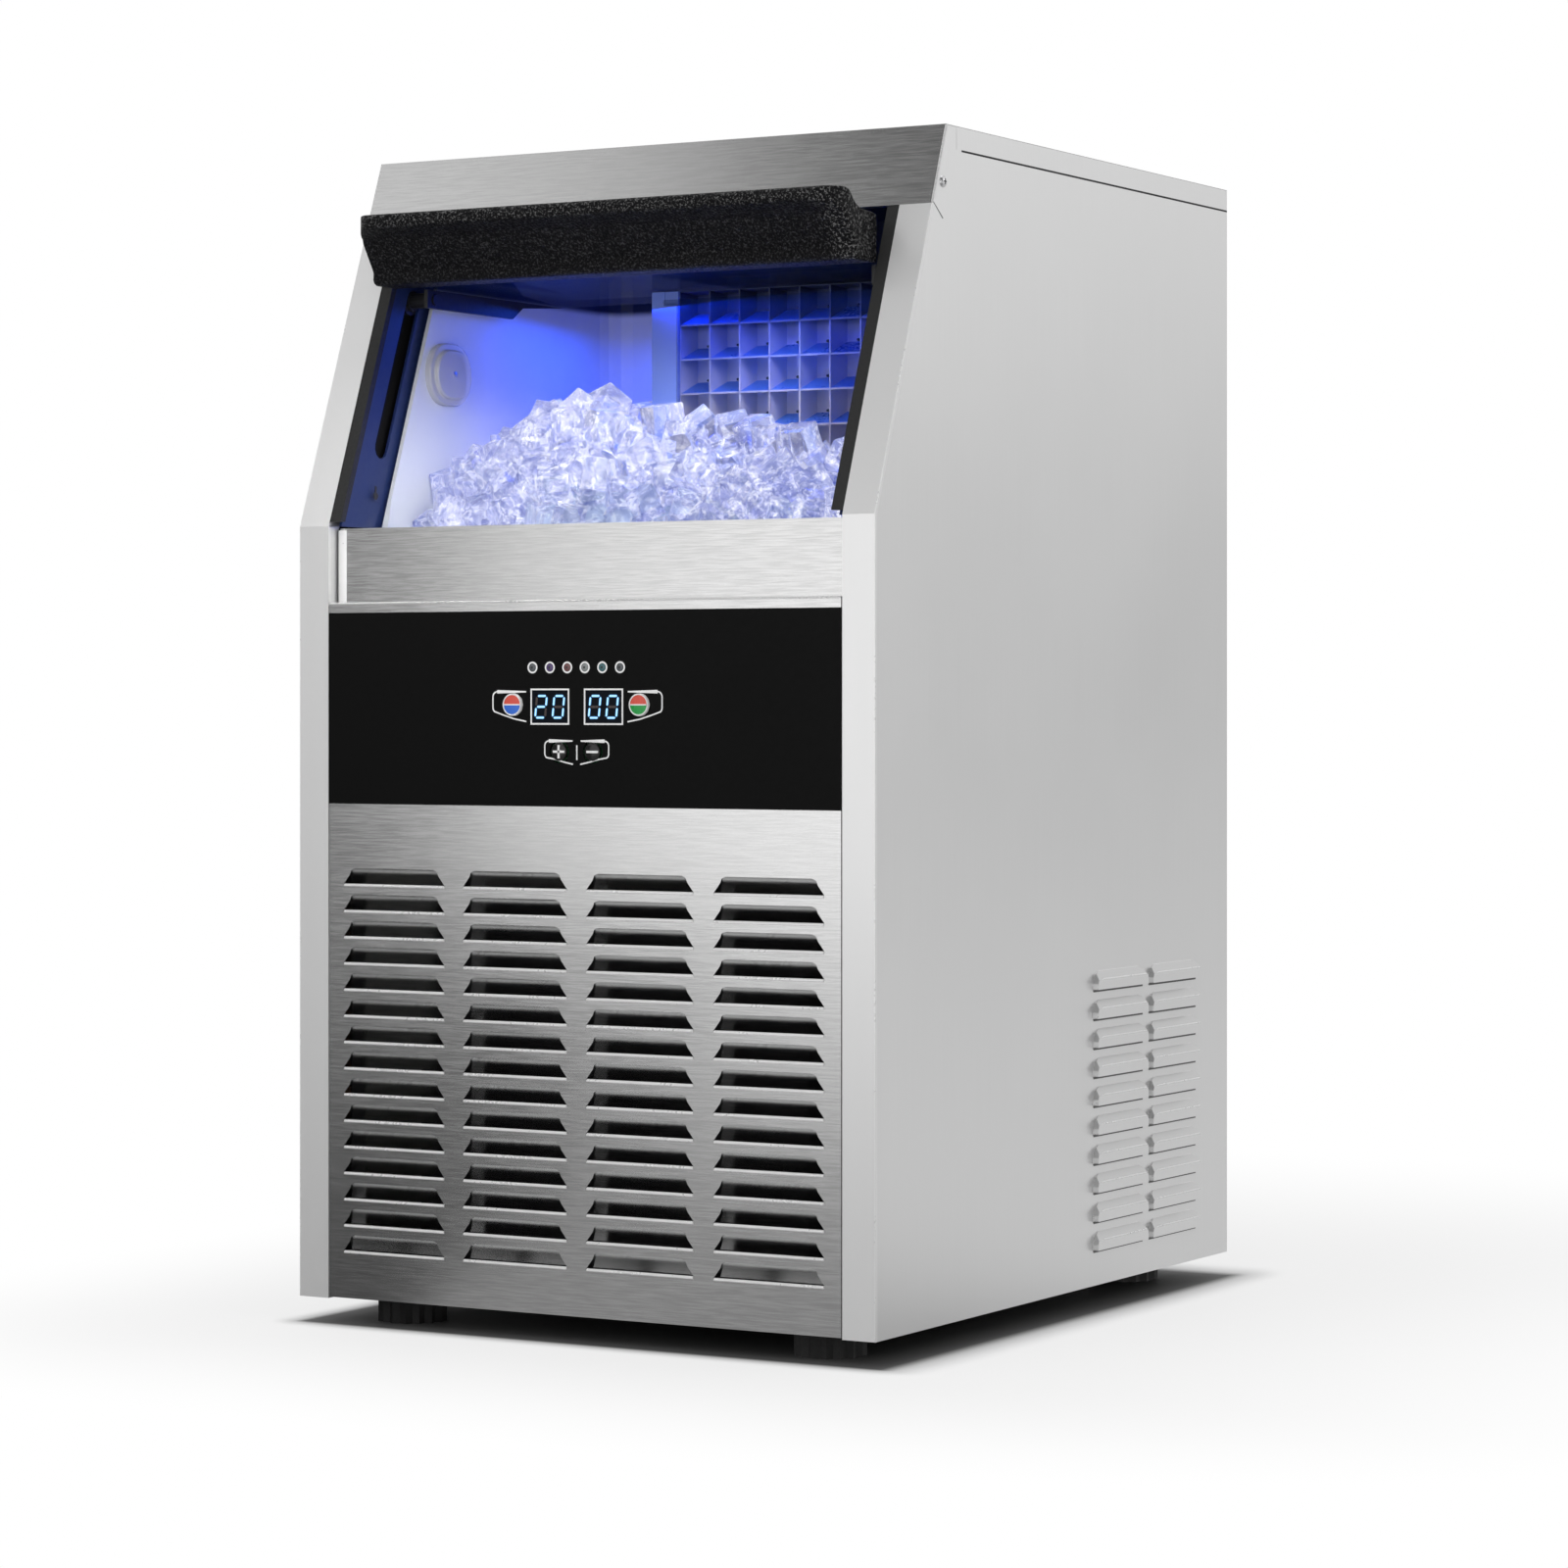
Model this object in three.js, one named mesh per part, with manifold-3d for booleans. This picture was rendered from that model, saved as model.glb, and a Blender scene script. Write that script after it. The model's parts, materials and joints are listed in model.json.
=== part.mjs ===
// Under-counter ice cube maker: a stainless cabinet with a slanted bin mouth, a clear door that
// stows under the top, a cell-mould evaporator over the bin and the refrigeration set below it.
// Millimetres. X to the right, Y to the back, Z up; the origin is the middle of the floor area.
import * as THREE from 'three';
import { mergeVertices } from 'three/addons/utils/BufferGeometryUtils.js';
import Module from 'manifold-3d';

const wasm = await Module();
wasm.setup();

// Cabinet
const cabinetWidth = 450;
const cabinetDepth = 542;
const cabinetHeight = 786.2;
const footHeight = 18;
const bendShare = 0.67082;
const slantSetback = 97.05;
const sheet = 1;
const seam = 0.3;
const cutOverrun = 2;
const stileWidth = 24;
const stileReturn = 12;
const rearReturn = 15;
const fasciaHeight = 53.7;
const fasciaReturn = 9;
const topStripDepth = 14.3;
const lidSkirt = 15.8;
const trayWall = 25;

// Lower front panel and its pressed louvres
const lipHeight = 52.4;
const lowerPanelGap = 0.8;
const louvreColumns = 4;
const louvreSideMargin = 4.6;
const louvreBaseMargin = 40;
const louvreRowPitch = 17.86;
const louvreGap = 14.8;
const louvreTaper = 10;
const louvreHeight = 11;
const louvreDepth = 9;
const louvreCorner = 4.5;
const louvreFieldDrop = 180.8;

// Side louvres, pressed outwards
const sideLouvreColumns = 2;
const sideLouvreRows = 10;
const sideLouvrePitch = 89.85;
const sideLouvreRowPitch = 20.2;
const sideLouvreLength = 81.5;
const sideLouvreHeight = 13;
const sideLouvreBulge = 4.5;
const sideLouvreRearMargin = 55;
const sideLouvreBase = 24.8;

// Rear panel
const rearSlotWidth = 70;
const rearSlotHeight = 6;
const rearSlotPitch = 14;
const rearSlotRows = 6;
const rearSlotColumns = 3;
const rearSlotColumnPitch = 90;
const rearSlotBase = 190;

// Lip panel under the bin mouth
const lipRecess = 10;
const lipFold = 5;
const lipReturn = 16;
const lipOverlap = 12;
const lipRim = 1.4;

// Control panel, its displays, buttons and lamps
const controlHeight = 130;
const controlThickness = 0.8;
const controlTopMargin = 7;
const controlWindowWidth = 128;
const controlWindowHeight = 84;
const displayWidth = 30;
const displayHeight = 22.8;
const displayOffset = 21.5;
const displayRise = 1;
const displayRecess = 0.3;
const buttonRadius = 7.5;
const buttonProud = 2.2;
const buttonTravel = 1.2;
const buttonRimShare = 0.45;
const modeButtonOffset = 49.5;
const modeButtonRise = 2.6;
const stepButtonOffset = 13.1;
const stepButtonDrop = 28.5;
const lampRadius = 2.6;
const lampProud = 0.8;
const lampPitch = 13.7;
const lampCount = 6;
const lampRise = 27.3;
const boardDepth = 11;
const boardThickness = 1.6;
const boardMargin = 5;
const boardPartHeight = 12;
const switchTop = 4;

// Ice bin: liner, insulation, ceiling
const binWallGap = 36;
const linerWall = 3;
const binFront = 40;
const binBack = 346;
const binFloorShare = 0.46044;
const binCorner = 18;
const linerMouthDepth = 47;
const foamBottom = 37;
const foamBack = 50;
const ceilingDrop = 31.2;
const ceilingThickness = 3;
const jambGap = 6;
const jambThickness = 2;
const jambFront = 6.3;
const jambOverlap = 9;
const jambRib = 6;
const gasketThickness = 5.5;
const gasketWidth = 9;

// Door: runner slots, flanges, panel and handle. The door is drawn open, stowed under the top.
const pinDepth = 31;
const pinDrop = 98.2;
const pinClosedRise = 55.73;
const slotWidth = 15;
const axleRadius = 4;
const axleClearance = 0.3;
const runnerHeadRadius = 10;
const runnerHeadThickness = 2.4;
const flangeClearance = 9.5;
const flangeThickness = 3;
const flangeDrop = 13;
const flangeRear = 205;
const doorPanelThickness = 5;
const doorPanelRise = 7;
const doorPanelDrop = 6;
const doorPanelRear = 166;
const doorPanelFront = -27;
const handleOverhang = 1.5;
const handleEndRound = 14;
const handleDepth = 45;
const handleHeight = 45;
const handleSectionShares = [
  [0.04, 1], [0, 0.96], [0, 0.84], [0.11, 0.76], [0.27, 0.69], [0.69, 0.17], [0.64, 0.09], [0.69, 0],
  [1, 0], [1, 0.72], [0.62, 0.75], [0.48, 0.8], [0.38, 0.95], [0.29, 1],
];

// Evaporator
const cellPitch = 24;
const cellColumns = 8;
const cellRows = 5;
const cellDepth = 22;
const cellWall = 1.4;
const cellTaper = 1.2;
const gridSideGap = 25.5;
const gridDrop = 114;
const gridFront = 179;
const mouldPlate = 2;
const coilRadius = 4;
const coilBend = 12;
const coilSteps = 36;
const columnWidth = 21;
const rightColumnWidth = 11;
const columnProud = 3;
const partitionWall = 3;
const curtainThickness = 1.6;
const curtainPivotRadius = 2.5;
const curtainPivotRise = 112;
const curtainGap = 5;
const curtainSwing = Math.PI / 6;

// Water side
const troughDrop = 62;
const troughHeight = 58;
const troughWall = 2.4;
const pumpRadius = 19;
const pumpHeight = 46;
const pumpLift = 10;
const probeWidth = 14;
const probeRod = 2.5;
const distributorRadius = 8;
const clipWidth = 10;

// Bin light lens on the left wall
const lensLength = 52;
const lensHeight = 44;
const lensProud = 8;
const lensFromBack = 221;
const lensDrop = 117;

// Ice
const cubeSize = 22;
const iceCrestRise = 90.6;
const iceFall = 96;
const iceSideFall = 70;
const iceCrestX = -60;
const iceCrestY = 128;
const iceColumns = 6;
const iceRows = 7;
const iceCubeRows = 3;
const iceMouthDepth = 41;
const icePitch = 31;
const iceSeed = 20261;

// Refrigeration set
const condenserSideGap = 62.5;
const condenserHeightShare = 0.31163;
const condenserDepth = 44;
const condenserFront = 34;
const condenserTubeRadius = 4.8;
const condenserBends = 5;
const condenserBendReach = 16;
const condenserFoot = 22;
const bendSteps = 4;
const shroudDepth = 26;
const shroudWall = 1.5;
const fanMargin = 22.5;
const fanHubRadius = 24;
const fanBlades = 5;
const fanBladeDepth = 16;
const fanPitch = 0.55;
const fanClearanceShare = 0.06;
const fanChordShare = 0.7;
const fanShaftReach = 22;
const motorStandoff = 12;
const armWidth = 16;
const motorRadius = 34;
const motorLength = 46;
const compressorRadius = 72;
const compressorHeight = 165;
const compressorRearGap = 156;
const compressorSideGap = 155;
const compressorLift = 12;
const compressorPlate = 3;
const compressorStub = 84;
const stubHeightShare = 0.68;
const drierRadius = 13;
const drierLength = 110;
const pipeRadius = 4;
const pipeHoleClearance = 3;
const pipeBend = 18;
const pipeSideGap = 49;
const pipeBinGap = 84;
const pipeSteps = 10;
const drierSideGap = 85;
const drierRearGap = 61;

// Rear fittings
const inletRadius = 13;
const inletReach = 18;
const inletSideGap = 75;
const inletDrop = 40;
const drainRadius = 11;
const drainReach = 16;
const drainHeight = 60;
const powerWidth = 48;
const powerHeight = 27;
const powerProud = 3;
const powerRise = 330;

// Feet
const footRadius = 24;
const footFlutes = 16;
const footFluteDepthShare = 0.1;
const footInsetX = 60;
const footInsetY = 49;
const studRadius = 4;
const studRise = 16;

// Rounds are drawn with this many sides
const fineSides = 20;
const middleSides = 12;
const coarseSides = 8;
const tubeSides = 6;

// Places that follow from the sizes above
const half = cabinetWidth / 2;
const bottomZ = footHeight;
const topZ = bottomZ + cabinetHeight;
const bendZ = bottomZ + cabinetHeight * bendShare;
const slope = slantSetback / (topZ - bendZ);
const slant = Math.atan(slope);
const fasciaZ = topZ - fasciaHeight;
const lidZ = topZ - lidSkirt;
const lidY = slantSetback + topStripDepth;
const stileInner = half - stileWidth;
const lowerPanelTop = bendZ - lipHeight;
const panelHalf = stileInner - lowerPanelGap;
const louvreColumnPitch = 2 * (panelHalf - louvreSideMargin) / louvreColumns;
const louvreWidth = louvreColumnPitch - louvreGap;
const louvreTopWidth = louvreWidth - louvreTaper;
const louvreRows = 1 + Math.floor(
  (lowerPanelTop - louvreFieldDrop - bottomZ - louvreBaseMargin) / louvreRowPitch);
const binHalfWidth = half - binWallGap;
const binFloor = bottomZ + cabinetHeight * binFloorShare;
const ceilingHeight = topZ - ceilingDrop;
const jambHalfGap = binHalfWidth + jambGap;
const pinOpenHeight = topZ - pinDrop;
const pinTravel = (pinOpenHeight - bendZ - pinClosedRise) / Math.cos(slant);
const flangeOuter = binHalfWidth - flangeClearance;
const handleHalfWidth = binHalfWidth + handleOverhang;
const gridLeft = binHalfWidth - gridSideGap - cellColumns * cellPitch;
const gridBottom = pinOpenHeight - gridDrop;
const troughBottom = gridBottom - troughDrop;
const lensCentreHeight = ceilingHeight - lensDrop;
const iceTopHeight = bendZ + iceCrestRise;
const condenserHeight = cabinetHeight * condenserHeightShare;
const compressorX = half - compressorSideGap;
const pipeSide = half - pipeSideGap;
const condenserWidth = cabinetWidth - 2 * condenserSideGap;
const fanRadius = Math.min(condenserHeight / 2, condenserWidth / 2 - condenserBendReach) - fanMargin;
const fanBladeChord = fanRadius * fanChordShare;
const fanClearance = fanRadius * fanClearanceShare;
const drierX = drierSideGap - half;
const inletSide = half - inletSideGap;
const inletHeight = binFloor - linerWall - foamBottom - inletDrop;
const powerSide = -inletSide;
const rearInner = cabinetDepth - sheet;
const compressorY = rearInner - compressorRearGap;
const pipeRear = binBack + pipeBinGap;
const drierY = rearInner - drierRearGap;
const troughTop = troughBottom + troughHeight;
const curtainPivotZ = gridBottom + curtainPivotRise;
const curtainY = gridFront - curtainGap;
const curtainLength = curtainPivotZ - gridBottom - curtainGap;
const condenserZ = bottomZ + condenserFoot;
const fanZ = condenserZ + condenserHeight / 2;
const fanY = condenserFront + condenserDepth + fanClearance;
const drierZ = bottomZ + compressorHeight;
const coilPipeX = gridLeft - columnWidth / 8;
const coilLowZ = gridBottom + cellPitch / 2;
const coilHighZ = coilLowZ + (cellRows - 1) * cellPitch;
const foamFront = lipRecess + lipReturn + seam;
const ceilingHalf = binHalfWidth + linerWall;
const pinOpenY = slantY(pinOpenHeight, pinDepth);
const doorPanelHalf = flangeOuter;
const handleFootZ = doorPanelRise - seam * 3;
const handleFrontY = doorPanelFront - handleDepth;

// Y of the line that lies this deep behind the slanted front, at height z
function slantY(z, depth) {
  return (z - bendZ) * slope + depth / Math.cos(slant);
}

// Height of the bend for a layer this deep behind the front
function layerBendZ(depth) {
  return bendZ - depth * Math.tan(slant / 2);
}

// Profile, as [y, z], of a layer that follows the front from zLow up to zHigh
function frontLayer(zLow, zHigh, near, far) {
  return [
    [near, zLow],
    [near, layerBendZ(near)],
    [slantY(zHigh, near), zHigh],
    [slantY(zHigh, far), zHigh],
    [far, layerBendZ(far)],
    [far, zLow],
  ];
}

function solidOf(geometry) {
  const plain = geometry.clone();
  plain.deleteAttribute('normal');
  plain.deleteAttribute('uv');
  const merged = mergeVertices(plain, seam / 1000);
  return new wasm.Manifold(new wasm.Mesh({
    numProp: 3,
    vertProperties: Float32Array.from(merged.attributes.position.array),
    triVerts: Uint32Array.from(merged.index.array),
  }));
}

function geometryOf(manifold) {
  const mesh = manifold.getMesh();
  const geometry = new THREE.BufferGeometry();
  geometry.setAttribute('position', new THREE.BufferAttribute(Float32Array.from(mesh.vertProperties), 3));
  geometry.setIndex(new THREE.BufferAttribute(Uint32Array.from(mesh.triVerts), 1));
  return geometry;
}

function join(...shapes) {
  return geometryOf(shapes.map(solidOf).reduce((whole, next) => whole.add(next)));
}

function cut(shape, ...tools) {
  return geometryOf(tools.map(solidOf).reduce((whole, tool) => whole.subtract(tool), solidOf(shape)));
}

function common(first, second) {
  return geometryOf(solidOf(first).intersect(solidOf(second)));
}

function box(x0, x1, y0, y1, z0, z1) {
  const geometry = new THREE.BoxGeometry(x1 - x0, y1 - y0, z1 - z0);
  return geometry.translate((x0 + x1) / 2, (y0 + y1) / 2, (z0 + z1) / 2);
}

function shapeOf(outline) {
  return new THREE.Shape(outline.map(([u, v]) => new THREE.Vector2(u, v)));
}

// Prisms: an outline in the plane square to the named axis, drawn out from one place to another
function prismX(outline, from, to) {
  const geometry = new THREE.ExtrudeGeometry(shapeOf(outline), { depth: to - from, bevelEnabled: false });
  const turn = new THREE.Matrix4().set(0, 0, 1, from, 1, 0, 0, 0, 0, 1, 0, 0, 0, 0, 0, 1);
  return geometry.applyMatrix4(turn);
}

function prismY(outline, from, to) {
  const geometry = new THREE.ExtrudeGeometry(shapeOf(outline), { depth: to - from, bevelEnabled: false });
  return geometry.rotateX(Math.PI / 2).translate(0, to, 0);
}

function prismZ(outline, from, to) {
  const geometry = new THREE.ExtrudeGeometry(shapeOf(outline), { depth: to - from, bevelEnabled: false });
  return geometry.translate(0, 0, from);
}

// Outline of a rectangle about a centre, its corners rounded in a few steps
function roundedRectangle(cx, cy, width, height, radius, steps = 3) {
  const points = [];
  const corners = [[1, 1], [-1, 1], [-1, -1], [1, -1]];
  corners.forEach(([sx, sy], corner) => {
    for (let step = 0; step <= steps; step += 1) {
      const angle = (corner + step / steps) * Math.PI / 2;
      points.push([
        cx + sx * (width / 2 - radius) + radius * Math.cos(angle),
        cy + sy * (height / 2 - radius) + radius * Math.sin(angle),
      ]);
    }
  });
  return points;
}

function circle(cx, cy, radius, sides) {
  return Array.from({ length: sides }, (_, index) => {
    const angle = index / sides * 2 * Math.PI;
    return [cx + radius * Math.cos(angle), cy + radius * Math.sin(angle)];
  });
}

// Area inside a profile, positive where it runs anticlockwise
function profileArea(profile) {
  return profile.reduce((sum, [radius, height], index) => {
    const [nextRadius, nextHeight] = profile[(index + 1) % profile.length];
    return sum + (radius * nextHeight - nextRadius * height) / 2;
  }, 0);
}

// A profile of [radius, height], listed either way round, turned round the Z axis
function turned(profile, sides) {
  const ordered = profileArea(profile) > 0 ? profile : [...profile].reverse();
  const points = ordered.map(([radius, height]) => new THREE.Vector2(radius, height));
  return new THREE.LatheGeometry(points, sides).rotateX(Math.PI / 2);
}

function tube(points, radius, steps) {
  const path = new THREE.CatmullRomCurve3(points.map(([x, y, z]) => new THREE.Vector3(x, y, z)));
  const section = shapeOf(circle(0, 0, radius, tubeSides));
  return new THREE.ExtrudeGeometry(section, { steps, extrudePath: path, bevelEnabled: false });
}

const finish = {
  steel: { color: 0xc4c6c8, roughness: 0.34, metalness: 1 },
  satin: { color: 0xcfd1d3, roughness: 0.45, metalness: 0.9 },
  galvanised: { color: 0xa9adb0, roughness: 0.5, metalness: 0.8 },
  blackGloss: { color: 0x141414, roughness: 0.3, metalness: 0 },
  blackPlastic: { color: 0x1c1c1d, roughness: 0.7, metalness: 0 },
  rubber: { color: 0x232323, roughness: 0.85, metalness: 0 },
  white: { color: 0xe8ecf2, roughness: 0.4, metalness: 0 },
  foam: { color: 0xe6dcb8, roughness: 0.9, metalness: 0 },
  clear: { color: 0xdfe8f2, roughness: 0.1, metalness: 0, transparent: true, opacity: 0.35 },
  ice: { color: 0xdfeaff, roughness: 0.08, metalness: 0, transparent: true, opacity: 0.75 },
  nickel: { color: 0xbfc2c6, roughness: 0.3, metalness: 1 },
  copper: { color: 0xb87333, roughness: 0.35, metalness: 1 },
  aluminium: { color: 0xc9ccd0, roughness: 0.4, metalness: 1 },
  display: { color: 0x0b1a24, roughness: 0.2, metalness: 0 },
  board: { color: 0x1f6a3a, roughness: 0.6, metalness: 0 },
  red: { color: 0xc5303a, roughness: 0.35, metalness: 0 },
  grey: { color: 0x9aa0a6, roughness: 0.5, metalness: 0 },
  blue: { color: 0x2f49b8, roughness: 0.5, metalness: 0 },
};

const icemaker = new THREE.Group();
const machine = new THREE.Group();
machine.position.y = -(cabinetDepth + inletReach - controlThickness - buttonProud) / 2;
icemaker.add(machine);

function place(name, geometry, look, position = [0, 0, 0], parent = machine) {
  geometry.computeVertexNormals();
  const material = new THREE.MeshStandardMaterial({ ...look, flatShading: true });
  const mesh = new THREE.Mesh(geometry, material);
  mesh.name = name;
  mesh.position.set(...position);
  parent.add(mesh);
  return mesh;
}

// One pressed side louvre, against the plane x = 0 and standing out along +X: its shell and its mouth
function sideLouvre() {
  const upper = steps => roundedRectangle(0, 0, sideLouvreLength, 2 * sideLouvreHeight,
    sideLouvreHeight * 2 / 3, steps).filter(([, z]) => z >= 0);
  const rimShare = 1 - 2 * sheet / sideLouvreLength;
  const bulge = grow => [
    [-sheet, 0],
    [sideLouvreBulge - sheet + grow, 0],
    [sideLouvreBulge - sheet + grow, sideLouvreHeight / 2],
    [grow - sheet, sideLouvreHeight - sheet + grow],
    [-sheet, sideLouvreHeight - sheet + grow],
  ];
  const shell = common(prismX([...upper(2), [-sideLouvreLength / 2, 0], [sideLouvreLength / 2, 0]],
    -sheet, sideLouvreBulge), prismY(bulge(sheet), -sideLouvreLength, sideLouvreLength));
  const mouth = common(prismX([...upper(2), [-sideLouvreLength / 2, 0], [sideLouvreLength / 2, 0]]
    .map(([y, z]) => [y * rimShare, z]), -sheet, sideLouvreBulge),
  prismY(bulge(0), -sideLouvreLength, sideLouvreLength));
  return { shell, mouth };
}

// Side panel: wall with its pressed louvres, front stile with its return, and the rear return
function sidePanel() {
  const inner = half - sheet;
  const wall = prismX([
    [0, bottomZ],
    [0, bendZ],
    [slantY(fasciaZ, 0), fasciaZ],
    [slantY(fasciaZ, sheet + seam), fasciaZ],
    [slantY(topZ - sheet, sheet + seam), topZ - sheet],
    [lidY - seam, topZ - sheet],
    [lidY - seam, lidZ],
    [cabinetDepth, lidZ],
    [cabinetDepth, bottomZ],
  ], inner, half);
  const stile = prismX(frontLayer(bottomZ, fasciaZ, 0, sheet), stileInner, half);
  const stileFlange = prismX(frontLayer(bottomZ, fasciaZ, 0, stileReturn), stileInner, stileInner + sheet);
  const rearFlange = box(half - rearReturn, half, rearInner, cabinetDepth, bottomZ, lidZ);
  const { shell, mouth } = sideLouvre();
  const shells = [];
  const mouths = [];
  for (let column = 0; column < sideLouvreColumns; column += 1) {
    const y = cabinetDepth - sideLouvreRearMargin - sideLouvreLength / 2 - column * sideLouvrePitch;
    for (let row = 0; row < sideLouvreRows; row += 1) {
      const z = bottomZ + sideLouvreBase + row * sideLouvreRowPitch;
      shells.push(shell.clone().translate(half, y, z));
      mouths.push(mouth.clone().translate(half, y, z));
    }
  }
  return cut(join(wall, stile, stileFlange, rearFlange, ...shells), ...mouths);
}

// The same shape on the left: mirrored in X, with its triangles turned to keep facing out
function mirrored(geometry) {
  const left = geometry.clone().scale(-1, 1, 1);
  const order = left.index ? Array.from(left.index.array) : null;
  if (order === null) {
    return mirrored(mergeVertices(geometry));
  }
  for (let corner = 0; corner < order.length; corner += 3) {
    [order[corner], order[corner + 1]] = [order[corner + 1], order[corner]];
  }
  left.setIndex(order);
  return left;
}

// Base tray between the side walls
function basePan() {
  const inner = half - sheet;
  const back = rearInner - sheet;
  const outside = box(-inner, inner, stileReturn + sheet, back, bottomZ, bottomZ + trayWall);
  const inside = box(-inner + sheet, inner - sheet, stileReturn + 2 * sheet, back - sheet,
    bottomZ + sheet, bottomZ + trayWall + cutOverrun);
  const holes = footPlaces().map(([x, y]) => prismZ(
    circle(x, y, studRadius + seam, coarseSides), bottomZ - cutOverrun, bottomZ + sheet + cutOverrun));
  const drain = prismZ(circle(-inletSide / 2, cabinetDepth / 2, drainRadius, coarseSides),
    bottomZ - cutOverrun, bottomZ + sheet + cutOverrun);
  return cut(outside, inside, ...holes, drain);
}

function footPlaces() {
  return [
    [footInsetX - half, footInsetY],
    [half - footInsetX, footInsetY],
    [footInsetX - half, cabinetDepth - footInsetY],
    [half - footInsetX, cabinetDepth - footInsetY],
  ];
}

// Rear panel between the side panels, against their returns, with vents and fitting holes
function rearPanel() {
  const inner = half - sheet - seam;
  const plate = box(-inner, inner, rearInner - sheet, rearInner, bottomZ, lidZ);
  const vents = [];
  for (let column = 0; column < rearSlotColumns; column += 1) {
    const x = (column - (rearSlotColumns - 1) / 2) * rearSlotColumnPitch;
    for (let row = 0; row < rearSlotRows; row += 1) {
      const z = bottomZ + rearSlotBase + row * rearSlotPitch;
      vents.push(box(x - rearSlotWidth / 2, x + rearSlotWidth / 2, rearInner - sheet - cutOverrun,
        rearInner + cutOverrun, z, z + rearSlotHeight));
    }
  }
  const through = [rearInner - sheet - cutOverrun, rearInner + cutOverrun];
  const inlet = prismY(circle(inletSide, inletHeight, inletRadius + seam, middleSides), ...through);
  const drain = prismY(circle(inletSide, drainHeight, drainRadius + seam, middleSides), ...through);
  const power = box(powerSide - powerWidth / 2 + powerProud, powerSide + powerWidth / 2 - powerProud,
    ...through, powerRise - powerHeight / 2 + powerProud, powerRise + powerHeight / 2 - powerProud);
  return cut(plate, ...vents, inlet, drain, power);
}

// Lid: top sheet with a skirt down to the side panels' upper edges
function topLid() {
  const outside = box(-half, half, lidY, cabinetDepth, lidZ, topZ);
  const inside = box(-half + sheet, half - sheet, lidY - cutOverrun, cabinetDepth - sheet,
    lidZ - cutOverrun, topZ - sheet);
  return cut(outside, inside);
}

// Fascia over the bin mouth: slanted face, top strip and a lower return
function topFascia() {
  const face = prismX([
    [slantY(fasciaZ, 0), fasciaZ],
    [slantSetback, topZ],
    [lidY, topZ],
    [lidY, topZ - sheet],
    [slantY(topZ - sheet, sheet), topZ - sheet],
    [slantY(fasciaZ + sheet, sheet), fasciaZ + sheet],
    [slantY(fasciaZ + sheet, fasciaReturn), fasciaZ + sheet],
    [slantY(fasciaZ, fasciaReturn), fasciaZ],
  ], -half, half);
  const sides = [-1, 1].map(side => box(
    side > 0 ? half - sheet - seam : -half - cutOverrun,
    side > 0 ? half + cutOverrun : sheet + seam - half,
    slantY(fasciaZ, sheet + seam), slantY(fasciaZ, fasciaReturn) + cutOverrun,
    fasciaZ - cutOverrun, fasciaZ + sheet + seam));
  return cut(face, ...sides);
}

// Lip panel below the bin mouth: it stands back from the front and its ends are folded round
function lipPanel() {
  const halfLip = stileInner - seam;
  const bottom = lowerPanelTop - lipOverlap;
  const top = bendZ - lipRim;
  const fold = (halfWidth, radius, y) => {
    const points = [];
    for (let step = 0; step <= 4; step += 1) {
      const angle = step / 4 * Math.PI / 2;
      points.push([halfWidth - radius + radius * Math.sin(angle), y + radius - radius * Math.cos(angle)]);
    }
    return points;
  };
  const right = fold(halfLip, lipFold, lipRecess);
  const rightInner = fold(halfLip - sheet, lipFold - sheet, lipRecess + sheet);
  const back = lipRecess + lipReturn;
  const outer = [...right, [halfLip, back]];
  const inner = [...rightInner, [halfLip - sheet, back]].reverse();
  const across = points => points.map(([x, y]) => [-x, y]).reverse();
  const section = [...outer, ...inner, ...across(inner), ...across(outer)];
  const wall = prismZ(section, bottom, top - sheet);
  const rimHalf = [
    ...fold(halfLip, lipFold, lipRecess),
    [halfLip, back],
    [halfLip - sheet, back],
    [halfLip - sheet, binFront - linerWall - seam],
  ];
  const rim = prismZ([...rimHalf, ...across(rimHalf)], top - sheet, top);
  return join(wall, rim);
}

// One louvre pressed inwards, its lower edge on z = 0 and its mouth on the plane y = 0
function frontLouvre() {
  const corner = louvreCorner;
  const outline = (grow, steps) => {
    const wide = louvreWidth / 2 + grow;
    const narrow = louvreTopWidth / 2 + grow;
    const height = louvreHeight + grow;
    const points = [[-wide, 0], [wide, 0]];
    for (let step = 0; step <= steps; step += 1) {
      const angle = step / steps * Math.PI / 2;
      points.push([narrow - corner + corner * Math.cos(angle), height - corner + corner * Math.sin(angle)]);
    }
    return [...points, ...points.slice(2).reverse().map(([x, z]) => [-x, z])];
  };
  const wedge = (front, grow) => [
    [front, 0],
    [louvreDepth + grow, 0],
    [0, louvreHeight + grow],
    [front, louvreHeight + grow],
  ];
  const hood = common(prismY(outline(sheet, 1), 0, louvreDepth + sheet),
    prismX(wedge(0, sheet), -louvreWidth, louvreWidth));
  const mouth = common(prismY(outline(0, 2), -cutOverrun, louvreDepth),
    prismX(wedge(-cutOverrun, 0), -louvreWidth, louvreWidth));
  return { hood, mouth };
}

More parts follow.
